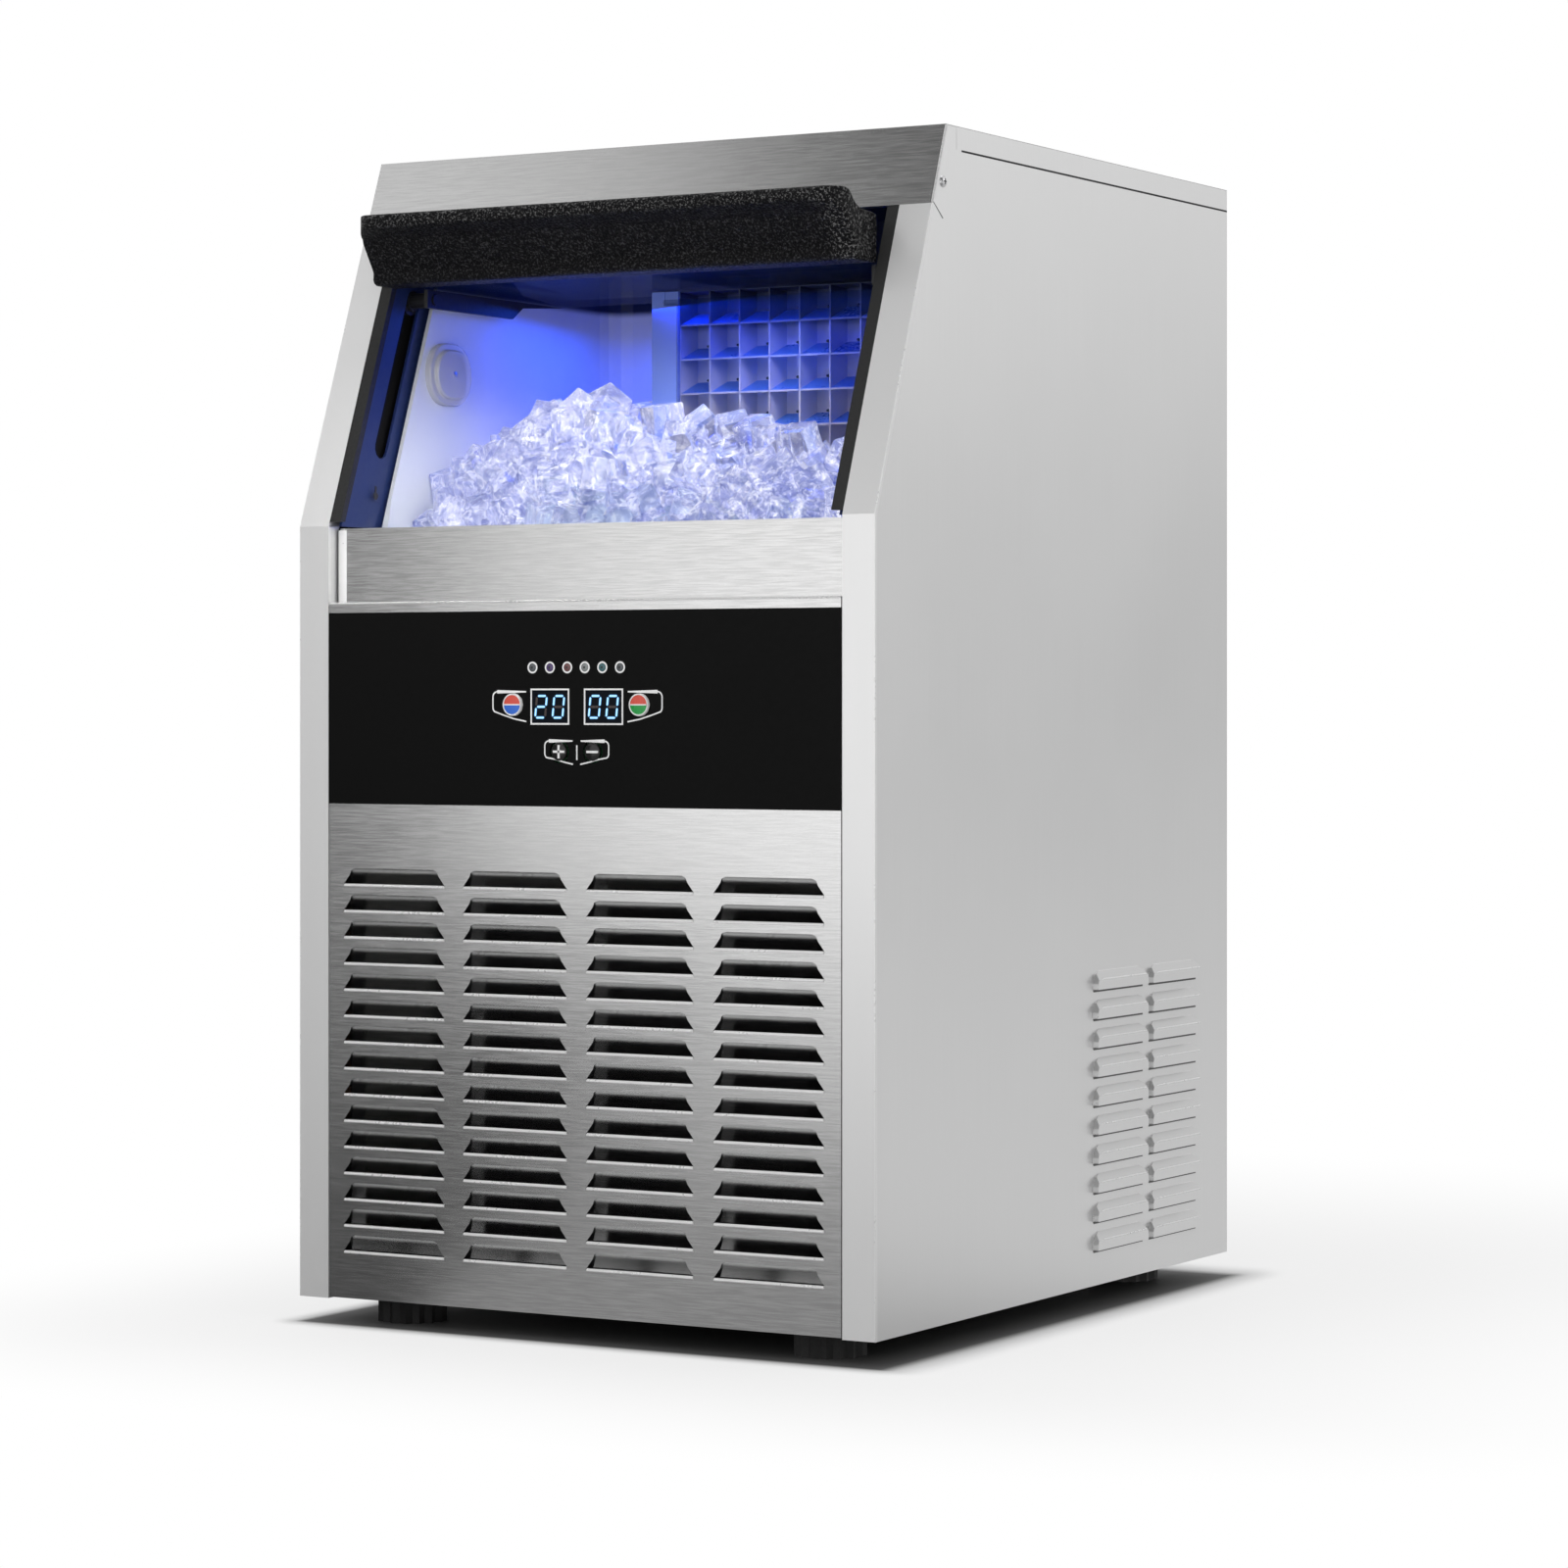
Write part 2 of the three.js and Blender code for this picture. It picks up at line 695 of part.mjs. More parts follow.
// Lower front panel: returns all round, the pressed louvres and the window behind the controls
function lowerPanel() {
  const low = bottomZ + sheet;
  const plate = box(-panelHalf, panelHalf, 0, sheet, low, lowerPanelTop);
  const rim = cut(box(-panelHalf, panelHalf, 0, lipRecess - seam, low, lowerPanelTop),
    box(sheet - panelHalf, panelHalf - sheet, -cutOverrun, lipRecess + cutOverrun,
      low + sheet, lowerPanelTop - sheet));
  const { hood, mouth } = frontLouvre();
  const hoods = [];
  const mouths = [];
  for (let column = 0; column < louvreColumns; column += 1) {
    const x = (column - (louvreColumns - 1) / 2) * louvreColumnPitch;
    for (let row = 0; row < louvreRows; row += 1) {
      const z = lowerPanelTop - louvreFieldDrop - louvreHeight - row * louvreRowPitch;
      hoods.push(hood.clone().translate(x, 0, z));
      mouths.push(mouth.clone().translate(x, 0, z));
    }
  }
  const window = box(-controlWindowWidth / 2, controlWindowWidth / 2, -cutOverrun, sheet + cutOverrun,
    controlZ - controlWindowHeight / 2, controlZ + controlWindowHeight / 2);
  return cut(join(plate, rim, ...hoods), ...mouths, window);
}

const controlTop = lowerPanelTop - controlTopMargin;
const controlZ = controlTop - controlHeight / 2;

// Control panel: thin black facing on the steel, with its holes
function controlPanel() {
  const facing = box(-panelHalf, panelHalf, -controlThickness, 0, controlZ - controlHeight / 2, controlTop);
  const through = [-controlThickness - cutOverrun, cutOverrun];
  const windows = [-1, 1].map(side => box(
    side * displayOffset - displayWidth / 2 - seam, side * displayOffset + displayWidth / 2 + seam, ...through,
    controlZ + displayRise - displayHeight / 2 - seam, controlZ + displayRise + displayHeight / 2 + seam));
  const buttons = buttonPlaces().map(([x, z]) => prismY(circle(x, z, buttonRadius + seam, middleSides), ...through));
  const lamps = lampPlaces().map(([x, z]) => prismY(circle(x, z, lampRadius + seam, coarseSides), ...through));
  return cut(facing, ...windows, ...buttons, ...lamps);
}

function buttonPlaces() {
  return [
    [-modeButtonOffset, controlZ + modeButtonRise],
    [modeButtonOffset, controlZ + modeButtonRise],
    [-stepButtonOffset, controlZ - stepButtonDrop],
    [stepButtonOffset, controlZ - stepButtonDrop],
  ];
}

function lampPlaces() {
  return Array.from({ length: lampCount }, (_, index) => [
    (index - (lampCount - 1) / 2) * lampPitch, controlZ + lampRise,
  ]);
}

// Domed push button with its stem, drawn along -Y from its rim plane
function button() {
  const stem = buttonRadius * buttonRimShare;
  const stemEnd = switchTop + buttonTravel + seam - boardDepth - controlThickness;
  const cap = turned([
    [0, buttonProud],
    [buttonRadius / 2, buttonProud * 0.93],
    [buttonRadius * 0.88, buttonProud * 0.6],
    [buttonRadius, 0],
    [buttonRadius, -controlThickness - buttonTravel - sheet],
    [stem, -controlThickness - buttonTravel - sheet],
    [stem, stemEnd],
    [0, stemEnd],
  ], middleSides);
  return cap.rotateX(Math.PI / 2);
}

// Control board on its standoffs, with a tactile switch behind each button
function controlBoard() {
  const width = controlWindowWidth + 2 * boardMargin;
  const height = controlWindowHeight + 2 * boardMargin;
  const back = boardDepth + boardThickness;
  const plate = box(-width / 2, width / 2, boardDepth, back, controlZ - height / 2, controlZ + height / 2);
  const standoffs = [];
  [-1, 1].forEach(sideX => [-1, 1].forEach(sideZ => {
    const x = sideX * (width - boardMargin) / 2;
    const z = controlZ + sideZ * (height - boardMargin) / 2;
    standoffs.push(box(x - boardMargin / 2, x + boardMargin / 2, sheet, boardDepth + seam,
      z - boardMargin / 2, z + boardMargin / 2));
  }));
  const switches = buttonPlaces().map(([x, z]) => prismY(
    circle(x, z, buttonRadius * buttonRimShare, tubeSides), boardDepth - switchTop, boardDepth + seam));
  const relay = box(width / 8, width * 3 / 8, back - seam, back + boardPartHeight,
    controlZ - height * 3 / 8, controlZ - height / 8);
  const connector = box(-width * 3 / 8, -width / 8, back - seam, back + boardPartHeight * 2 / 3,
    controlZ + height / 8, controlZ + height / 4);
  return join(plate, relay, connector, ...standoffs, ...switches);
}

// Plan of the bin inside its liner, its upright corners rounded, drawn in by an inset
function binPlan(inset) {
  return roundedRectangle(0, (binFront + binBack) / 2, 2 * (binHalfWidth - inset),
    binBack - binFront - 2 * inset, binCorner);
}

// Liner of the bin: floor, front, sides and back in one moulding, open at the top and the mouth
function binLiner() {
  const outer = binHalfWidth + linerWall;
  const back = binBack + linerWall;
  const front = binFront - linerWall;
  const floor = binFloor - linerWall;
  const low = bendZ - lipRim;
  const sideProfile = [
    [front, floor],
    [front, low],
    [slantY(low, linerMouthDepth), low],
    [slantY(ceilingHeight, linerMouthDepth), ceilingHeight],
    [back, ceilingHeight],
    [back, floor],
  ];
  const body = prismX(sideProfile, -outer, outer);
  const pipeHoles = [[coilPipeX, coilLowZ], [pipeSide, coilHighZ]].map(([x, z]) => prismY(
    circle(x, z, pipeRadius + pipeHoleClearance, coarseSides), binBack - binCorner, back + cutOverrun));
  return cut(body, prismZ(binPlan(0), binFloor, ceilingHeight + cutOverrun), ...pipeHoles);
}

// Foamed insulation round the liner
function binInsulation() {
  const outer = half - sheet - seam;
  const back = binBack + linerWall + foamBack;
  const bottom = binFloor - linerWall - foamBottom;
  const liner = binHalfWidth + linerWall + seam;
  const body = prismX([
    [foamFront, bottom],
    [foamFront, bendZ + (foamFront - (stileReturn + sheet) / Math.cos(slant)) / slope],
    [slantY(lidZ - sheet, stileReturn + sheet), lidZ - sheet],
    [back, lidZ - sheet],
    [back, bottom],
  ], -outer, outer);
  const cavity = box(-liner, liner, binFront - linerWall - seam, binBack + linerWall + seam,
    binFloor - linerWall - seam, topZ);
  const mouthHalf = jambHalfGap + jambThickness + runnerHeadThickness + axleRadius;
  const mouth = prismX([
    [0, bendZ - lipRim - sheet - seam],
    [binFront + cutOverrun, bendZ - lipRim - sheet - seam],
    [slantY(bendZ, linerMouthDepth + jambOverlap), bendZ - lipRim - sheet - seam],
    [slantY(topZ, linerMouthDepth + jambOverlap), topZ],
    [0, topZ],
  ], -mouthHalf, mouthHalf);
  const low = ceilingHeight + ceilingThickness + seam;
  const high = topZ - sheet;
  const ceiling = prismX([
    [slantY(low, fasciaReturn + sheet), low],
    [slantY(high, fasciaReturn + sheet), high],
    [back, high],
    [back, low],
  ], -ceilingHalf - seam, ceilingHalf + seam);
  const pipeHoles = [[coilPipeX, coilLowZ], [pipeSide, coilHighZ]].map(([x, z]) => prismY(
    circle(x, z, pipeRadius + pipeHoleClearance, coarseSides), binBack, back + cutOverrun));
  return cut(join(cut(body, cavity, mouth), ceiling), ...pipeHoles);
}

function ceilingPanel() {
  const side = ceilingHalf;
  const top = ceilingHeight + ceilingThickness;
  return box(-side, side, slantY(top, sheet + seam), binBack + linerWall, ceilingHeight, top);
}

// Place on the runner line at height z, and the slot that follows it
function runnerY(z) {
  return slantY(z, pinDepth);
}

function jamb() {
  const low = bendZ;
  const high = ceilingHeight - seam;
  const near = jambFront;
  const far = linerMouthDepth + jambOverlap;
  const strip = (first, last) => [
    [slantY(low, first), low],
    [slantY(high, first), high],
    [slantY(high, last), high],
    [slantY(low, last), low],
  ];
  const under = fasciaZ - seam;
  const behind = fasciaReturn + sheet;
  const plate = prismX([
    [slantY(low, near), low],
    [slantY(under, near), under],
    [slantY(under, behind), under],
    [slantY(high, behind), high],
    [slantY(high, far), high],
    [slantY(low, far), low],
  ], jambHalfGap, jambHalfGap + jambThickness);
  const rib = prismX(strip(far - jambRib, far), binHalfWidth + linerWall + seam, jambHalfGap + seam);
  const slotEnd = height => [runnerY(height), height];
  const [lowY, lowZ] = slotEnd(pinOpenHeight - pinTravel * Math.cos(slant));
  const [highY, highZ] = slotEnd(pinOpenHeight);
  const points = [];
  const radius = slotWidth / 2;
  for (let step = 0; step <= 6; step += 1) {
    const angle = Math.PI + step / 6 * Math.PI - slant;
    points.push([lowY + radius * Math.cos(angle), lowZ + radius * Math.sin(angle)]);
  }
  for (let step = 0; step <= 6; step += 1) {
    const angle = step / 6 * Math.PI - slant;
    points.push([highY + radius * Math.cos(angle), highZ + radius * Math.sin(angle)]);
  }
  const slot = prismX(points, jambHalfGap - cutOverrun, jambHalfGap + jambThickness + cutOverrun);
  return cut(join(plate, rib), slot);
}

// Door gasket on the slanted mouth, against the stile's return
function gasket() {
  const low = bendZ + gasketWidth / 3;
  const high = fasciaZ - seam;
  return prismX([
    [slantY(low, seam), low],
    [slantY(high, seam), high],
    [slantY(high, gasketThickness), high],
    [slantY(low, gasketThickness), low],
  ], stileInner - gasketWidth, stileInner);
}

// Runner: disc in the slot, head behind the jamb and an axle through the door's flange
function doorRunner(side) {
  const disc = slotWidth / 2 - seam;
  const jambBack = jambHalfGap + jambThickness;
  const run = turned([
    [0, flangeOuter - flangeThickness - sheet],
    [axleRadius, flangeOuter - flangeThickness - sheet],
    [axleRadius, flangeOuter + seam],
    [axleRadius + flangeThickness / 2, flangeOuter + seam],
    [axleRadius + flangeThickness / 2, jambHalfGap - seam],
    [disc, jambHalfGap - seam],
    [disc, jambBack + seam],
    [runnerHeadRadius, jambBack + seam],
    [runnerHeadRadius, jambBack + seam + runnerHeadThickness],
    [0, jambBack + seam + runnerHeadThickness],
  ], middleSides);
  return run.rotateY(side * Math.PI / 2);
}

// Side flange of the door: it carries the panel and turns on the runner's axle
function doorFlange() {
  const bottom = -doorPanelDrop;
  const panelLow = doorPanelRise;
  const nose = axleRadius * 2;
  const rear = flangeRear - pinOpenY;
  const outline = [
    [-nose * 1.2, bottom],
    [rear - flangeDrop, bottom],
    [rear, panelLow - flangeDrop / 3],
    [doorPanelRear, panelLow - seam],
    [-nose * 1.2, panelLow - seam],
  ];
  const plate = prismX(outline, flangeOuter - flangeThickness, flangeOuter);
  const hole = prismX(circle(0, 0, axleRadius + axleClearance, middleSides),
    flangeOuter - flangeThickness - cutOverrun, flangeOuter + cutOverrun);
  return cut(plate, hole);
}

function doorPanel() {
  return box(-doorPanelHalf, doorPanelHalf, doorPanelFront, doorPanelRear, doorPanelRise, doorPanelRise + doorPanelThickness);
}

// Handle moulding on the door's front edge: a hooked section with rounded ends
function doorHandle() {
  const section = handleSectionShares.map(([y, z]) => [
    handleFrontY + y * handleDepth, handleFootZ + z * handleHeight,
  ]);
  const bar = prismX(section, -handleHalfWidth, handleHalfWidth);
  const plan = roundedRectangle(0, handleFrontY + handleDepth, 2 * handleHalfWidth, 2 * handleDepth,
    handleEndRound, 4);
  const rounded = common(bar, prismZ(plan, handleFootZ - cutOverrun, handleFootZ + handleHeight + cutOverrun));
  const slot = box(-doorPanelHalf - seam, doorPanelHalf + seam, doorPanelFront - seam, doorPanelRear,
    doorPanelRise - seam, doorPanelRise + doorPanelThickness + seam);
  return cut(rounded, slot);
}

// Mould of the evaporator: a plate with open cells that taper towards the front
function evaporatorGrid() {
  const width = cellColumns * cellPitch;
  const height = cellRows * cellPitch;
  const block = box(gridLeft, gridLeft + width, gridFront, gridFront + cellDepth + mouldPlate,
    gridBottom, gridBottom + height);
  const cell = box(-1, 1, 0, 1, -1, 1);
  const spot = cell.attributes.position;
  const wide = cellPitch / 2 - cellWall / 2;
  for (let index = 0; index < spot.count; index += 1) {
    const deep = spot.getY(index) > 0.5;
    const reach = deep ? wide - cellTaper : wide;
    spot.setXYZ(index, spot.getX(index) * reach, deep ? cellDepth : -cutOverrun, spot.getZ(index) * reach);
  }
  const cells = [];
  for (let column = 0; column < cellColumns; column += 1) {
    for (let row = 0; row < cellRows; row += 1) {
      cells.push(cell.clone().translate(gridLeft + (column + 1 / 2) * cellPitch, gridFront,
        gridBottom + (row + 1 / 2) * cellPitch));
    }
  }
  return cut(block, ...cells);
}

// Refrigerant coil on the back of the mould, one unbroken tube in level runs
function evaporatorCoil() {
  const left = gridLeft + coilBend;
  const right = gridLeft + cellColumns * cellPitch - coilBend;
  const y = gridFront + cellDepth + mouldPlate + coilRadius + seam;
  const path = new THREE.CurvePath();
  for (let row = 0; row < cellRows; row += 1) {
    const z = gridBottom + (row + 1 / 2) * cellPitch;
    const [from, to] = row % 2 === 0 ? [left, right] : [right, left];
    path.add(new THREE.LineCurve3(new THREE.Vector3(from, y, z), new THREE.Vector3(to, y, z)));
    if (row < cellRows - 1) {
      path.add(new THREE.CubicBezierCurve3(
        new THREE.Vector3(to, y, z),
        new THREE.Vector3(to + Math.sign(to - from) * coilBend, y, z),
        new THREE.Vector3(to + Math.sign(to - from) * coilBend, y, z + cellPitch),
        new THREE.Vector3(to, y, z + cellPitch),
      ));
    }
  }
  const section = shapeOf(circle(0, 0, coilRadius, tubeSides));
  return new THREE.ExtrudeGeometry(section, { steps: coilSteps, extrudePath: path, bevelEnabled: false });
}

// White housing of the evaporator: side columns with the curtain's pivot notches, and the partition
function evaporatorFrame() {
  const left = gridLeft - seam;
  const right = gridLeft + cellColumns * cellPitch + seam;
  const front = gridFront - columnProud;
  const back = gridFront + cellDepth + mouldPlate;
  const top = gridBottom + cellRows * cellPitch;
  const leftColumn = box(left - columnWidth, left, front, back, troughTop + seam, top);
  const rightColumn = box(right, right + rightColumnWidth, front, back, troughTop + seam, top);
  const partition = box(left - columnWidth, left - columnWidth + partitionWall, back - seam,
    binBack - seam, troughBottom, top);
  const skirt = box(left - columnWidth, left - columnWidth + partitionWall, front, back,
    troughBottom, troughTop + 2 * seam);
  const backBar = box(left - seam, right + seam, back - mouldPlate, back,
    gridBottom - cellWall * 2 - seam, gridBottom - seam);
  const cup = curtainPivotRadius + seam;
  const notches = [
    prismX(circle(curtainY, curtainPivotZ, cup, coarseSides), left - columnWidth / 2, left + cutOverrun),
    box(left - columnWidth / 2, left + cutOverrun, curtainY - cup, curtainY + cup, curtainPivotZ, top + cutOverrun),
    prismX(circle(curtainY, curtainPivotZ, cup, coarseSides), right - cutOverrun, right + rightColumnWidth / 2),
    box(right - cutOverrun, right + rightColumnWidth / 2, curtainY - cup, curtainY + cup, curtainPivotZ,
      top + cutOverrun),
  ];
  return cut(join(leftColumn, rightColumn, partition, skirt, backBar), ...notches);
}

// Clear curtain in front of the mould, hung on two pivots
function waterCurtain() {
  const left = gridLeft;
  const right = gridLeft + cellColumns * cellPitch;
  const flap = box(left + seam, right - seam, -curtainThickness / 2, curtainThickness / 2, -curtainLength, 0);
  const rod = prismX(circle(0, 0, curtainPivotRadius, tubeSides), left - columnWidth / 2 + sheet,
    right + rightColumnWidth / 2 - sheet);
  return join(flap, rod);
}

// Water trough under the mould, open at the top
function waterTrough() {
  const left = gridLeft - columnWidth + partitionWall;
  const right = gridLeft + cellColumns * cellPitch;
  const front = gridFront - columnProud;
  const back = binBack - seam;
  const outside = box(left, right, front, back, troughBottom, troughTop);
  const inside = box(left + troughWall, right - troughWall, front + troughWall, back - troughWall,
    troughBottom + troughWall, troughTop + cutOverrun);
  return cut(outside, inside);
}

// Circulation pump: motor can on a bracketed column that stands in the trough
function waterPump() {
  const body = turned([
    [0, 0],
    [pumpRadius * 0.75, 0],
    [pumpRadius * 0.75, pumpLift],
    [pumpRadius * 0.4, pumpLift],
    [pumpRadius * 0.4, pumpLift + troughHeight],
    [pumpRadius, pumpLift + troughHeight],
    [pumpRadius, pumpLift + troughHeight + pumpHeight * 0.85],
    [pumpRadius * 0.8, pumpLift + troughHeight + pumpHeight],
    [0, pumpLift + troughHeight + pumpHeight],
  ], middleSides);
  return body;
}

// Level probe: two electrodes under a cap that stands on the trough's floor
function levelProbe() {
  const head = box(-probeWidth, probeWidth, -probeWidth / 2, probeWidth / 2,
    troughHeight, troughHeight + probeWidth);
  const rods = [-1, 1].map(side => prismZ(circle(side * probeWidth / 2, 0, probeRod, tubeSides), 0,
    troughHeight + seam));
  return join(head, ...rods);
}

// Distributor tube that spills water over the top of the mould
function waterDistributor() {
  const left = gridLeft + coilBend;
  const right = gridLeft + cellColumns * cellPitch - 2 * coilBend;
  const y = gridFront + cellDepth + mouldPlate + 2 * (coilRadius + seam) + distributorRadius;
  const z = gridBottom + cellRows * cellPitch - distributorRadius;
  const spill = prismX(circle(y, z, distributorRadius, middleSides), left, right);
  const clips = [left, right - clipWidth].map(x => box(x, x + clipWidth,
    gridFront + cellDepth + mouldPlate + seam, y, z + distributorRadius / 2, z + distributorRadius * 0.9));
  return join(spill, ...clips);
}

// Clear oval lens of the bin light, on the liner's left wall, drawn along +X
function lightLens() {
  const lens = (inset, depth) => prismX(
    roundedRectangle(0, 0, lensLength - inset, lensHeight - inset, (lensHeight - inset) * 0.45, 4), 0, depth);
  return join(lens(0, lensProud * 0.7), lens(lensProud * 0.6, lensProud));
}

// A repeatable run of even random shares between 0 and 1
function shareMaker(seed) {
  let state = seed;
  return () => {
    state = (state * 16807) % 2147483647;
    return state / 2147483647;
  };
}

// Height of the ice at a place in the bin: a crest that falls off to the front, back and sides
function iceHeight(x, y) {
  const across = (x - iceCrestX) / (2 * binHalfWidth);
  const reach = y < iceCrestY ? iceCrestY - binFront : binBack - iceCrestY;
  const along = (y - iceCrestY) / reach;
  return iceTopHeight - iceFall * along ** 2 - iceSideFall * across ** 2;
}

// Ice in the bin: a packed mass with loose cubes on top, clear of the mould, trough and curtain
function ice() {
  const left = seam - binHalfWidth;
  const right = binHalfWidth - seam;
  const front = binFront + seam;
  const back = binBack - seam;
  const section = y => {
    const points = [[left - cutOverrun, binFloor - cutOverrun], [right + cutOverrun, binFloor - cutOverrun]];
    for (let step = 0; step <= iceColumns; step += 1) {
      const x = right + cutOverrun - (right - left + 2 * cutOverrun) * step / iceColumns;
      points.push([x, iceHeight(x, y) - cubeSize]);
    }
    return points;
  };
  const slices = [];
  for (let row = 0; row < iceRows; row += 1) {
    const near = front + (back - front) * row / iceRows;
    const far = front + (back - front) * (row + 1) / iceRows;
    slices.push(prismY(section((near + far) / 2), near, far));
  }
  const share = shareMaker(iceSeed);
  const cubes = [];
  const columns = Math.floor((right - left) / icePitch);
  for (let column = 0; column < columns; column += 1) {
    for (let row = 0; row < iceCubeRows; row += 1) {
      const x = left + icePitch * (column + 0.5 + (share() - 0.5) * 0.2);
      const y = front + icePitch * (row + 0.5 + (share() - 0.5) * 0.2);
      const z = iceHeight(x, y) - cubeSize * (0.85 + share() / 5);
      const cube = box(-cubeSize / 2, cubeSize / 2, -cubeSize / 2, cubeSize / 2, -cubeSize / 2, cubeSize / 2);
      cube.rotateX(share() * 2).rotateY(share() * 2).rotateZ(share() * 2);
      cubes.push(cube.translate(x, y, z));
    }
  }
  const frontLimit = prismX([
    [front, binFloor + seam],
    [front, bendZ - lipRim],
    [slantY(bendZ, iceMouthDepth), bendZ],
    [slantY(topZ, iceMouthDepth), topZ],
    [back, topZ],
    [back, binFloor + seam],
  ], left - cutOverrun, right + cutOverrun);
  const bin = prismZ(binPlan(seam), binFloor + seam, topZ);
  const housing = box(gridLeft - columnWidth - 2 * seam, binHalfWidth + cutOverrun,
    gridFront - columnProud - curtainGap, binBack + cutOverrun, troughBottom - seam, topZ);
  const swingReach = curtainLength * Math.sin(curtainSwing) + curtainThickness + cutOverrun;
  const swing = box(gridLeft - columnWidth - 2 * seam, binHalfWidth + cutOverrun, curtainY - swingReach,
    binBack, curtainPivotZ - curtainLength - cubeSize / 4, topZ);
  const heap = common(common(join(...slices, ...cubes), frontLimit), bin);
  const lensY = binBack - lensFromBack;
  const lensRoom = box(-binHalfWidth - cutOverrun, lensProud + cutOverrun - binHalfWidth,
    lensY - lensLength / 2 - cutOverrun, lensY + lensLength / 2 + cutOverrun,
    lensCentreHeight - lensHeight / 2 - cutOverrun, topZ);
  return cut(heap, housing, swing, lensRoom);
}

// Condenser: fin block between end plates, with the tube bends outside them
function condenser() {
  const wide = condenserWidth / 2;
  const low = condenserZ;
  const high = low + condenserHeight;
  const back = condenserFront + condenserDepth;
  const core = box(-wide + condenserBendReach, wide - condenserBendReach, condenserFront + sheet,
    back - sheet, low + sheet, high - sheet);
  const ends = [-1, 1].map(side => {
    const x = side * (wide - condenserBendReach);
    return box(x - sheet, x + sheet, condenserFront, back, low, high);
  });
  const bends = [];
  const pitch = condenserHeight / condenserBends;
  const middle = (condenserFront + back) / 2;
  for (let bend = 0; bend < condenserBends; bend += 1) {
    const z = low + pitch * (bend + 1 / 2);
    [-1, 1].forEach(side => {
      const x = side * (wide - condenserBendReach);
      const reach = side * (condenserBendReach - condenserTubeRadius);
      bends.push(tube([
        [x, middle, z - pitch / 4],
        [x + reach * 0.7, middle, z - pitch / 5],
        [x + reach, middle, z],
        [x + reach * 0.7, middle, z + pitch / 5],
        [x, middle, z + pitch / 4],
      ], condenserTubeRadius, bendSteps));
    });
  }
  const foot = box(-wide + condenserBendReach, wide - condenserBendReach, condenserFront, back,
    bottomZ + sheet, low + 2 * sheet);
  return join(core, foot, ...ends, ...bends);
}

// Fan shroud behind the condenser: a shallow box with a ringed opening and the motor's arms
function fanShroud() {
  const wide = condenserWidth / 2 - condenserBendReach;
  const front = condenserFront + condenserDepth;
  const back = front + shroudDepth;
  const low = condenserZ;
  const high = low + condenserHeight;
  const outside = box(-wide, wide, front, back, low, high);
  const inside = box(shroudWall - wide, wide - shroudWall, front - cutOverrun, back - shroudWall,
    low + shroudWall, high - shroudWall);
  const hole = prismY(circle(0, fanZ, fanRadius + fanClearance, fineSides), front, back + cutOverrun);
  const armsBack = back + motorStandoff;
  const arms = [];
  [-1, 1].forEach(side => {
    const inner = side * motorRadius * 0.7;
    const outer = side * (fanRadius + fanClearance * 2);
    arms.push(box(Math.min(inner, outer), Math.max(inner, outer), armsBack - shroudWall, armsBack,
      fanZ - armWidth / 2, fanZ + armWidth / 2));
    arms.push(box(side > 0 ? outer - shroudWall : outer, side > 0 ? outer : outer + shroudWall,
      back - seam, armsBack, fanZ - armWidth / 2, fanZ + armWidth / 2));
  });
  const plate = cut(prismY(circle(0, fanZ, motorRadius, middleSides), armsBack - shroudWall, armsBack),
    prismY(circle(0, fanZ, axleRadius + seam * 2, coarseSides), armsBack - cutOverrun * 2, armsBack + cutOverrun));
  return join(cut(outside, inside, hole), ...arms, plate);
}

// Fan: hub with twisted blades, drawn round the Z axis
function fanBlade() {
  const hub = turned([
    [0, 0],
    [fanHubRadius * 0.8, 0],
    [fanHubRadius, fanBladeDepth / 4],
    [fanHubRadius, fanBladeDepth],
    [axleRadius, fanBladeDepth],
    [axleRadius, fanBladeDepth + fanShaftReach],
    [0, fanBladeDepth + fanShaftReach],
  ], middleSides);
  const blades = [];
  for (let blade = 0; blade < fanBlades; blade += 1) {
    const sheetBlade = new THREE.BoxGeometry(1, 1, 1, 3, 2, 1);
    const spot = sheetBlade.attributes.position;
    for (let index = 0; index < spot.count; index += 1) {
      const along = spot.getX(index) + 0.5;
      const radius = fanHubRadius * 0.8 + (fanRadius - fanHubRadius * 0.8) * along;
      const chord = fanBladeChord * (0.6 + 0.4 * Math.sin(along * Math.PI * 0.7));
      const angle = spot.getY(index) * chord / radius;
      const pitch = fanPitch * (1 - along / 2);
      const lift = spot.getY(index) * chord * Math.sin(pitch) + fanBladeDepth * 0.6;
      spot.setXYZ(index, radius * Math.cos(angle), radius * Math.sin(angle), lift + spot.getZ(index) * shroudWall);
    }
    blades.push(sheetBlade.rotateZ(blade / fanBlades * 2 * Math.PI));
  }
  return join(hub, ...blades);
}

// Fan motor: turned can with a bore for the fan's shaft, drawn along Z away from the fan
function fanMotor() {
  const bore = axleRadius + seam;
  return turned([
    [bore, 0],
    [motorRadius * 0.95, 0],
    [motorRadius, motorLength * 0.1],
    [motorRadius, motorLength * 0.8],
    [motorRadius * 0.85, motorLength],
    [0, motorLength],
    [0, motorLength / 2],
    [bore, motorLength / 2],
    [bore, 0],
  ], middleSides);
}

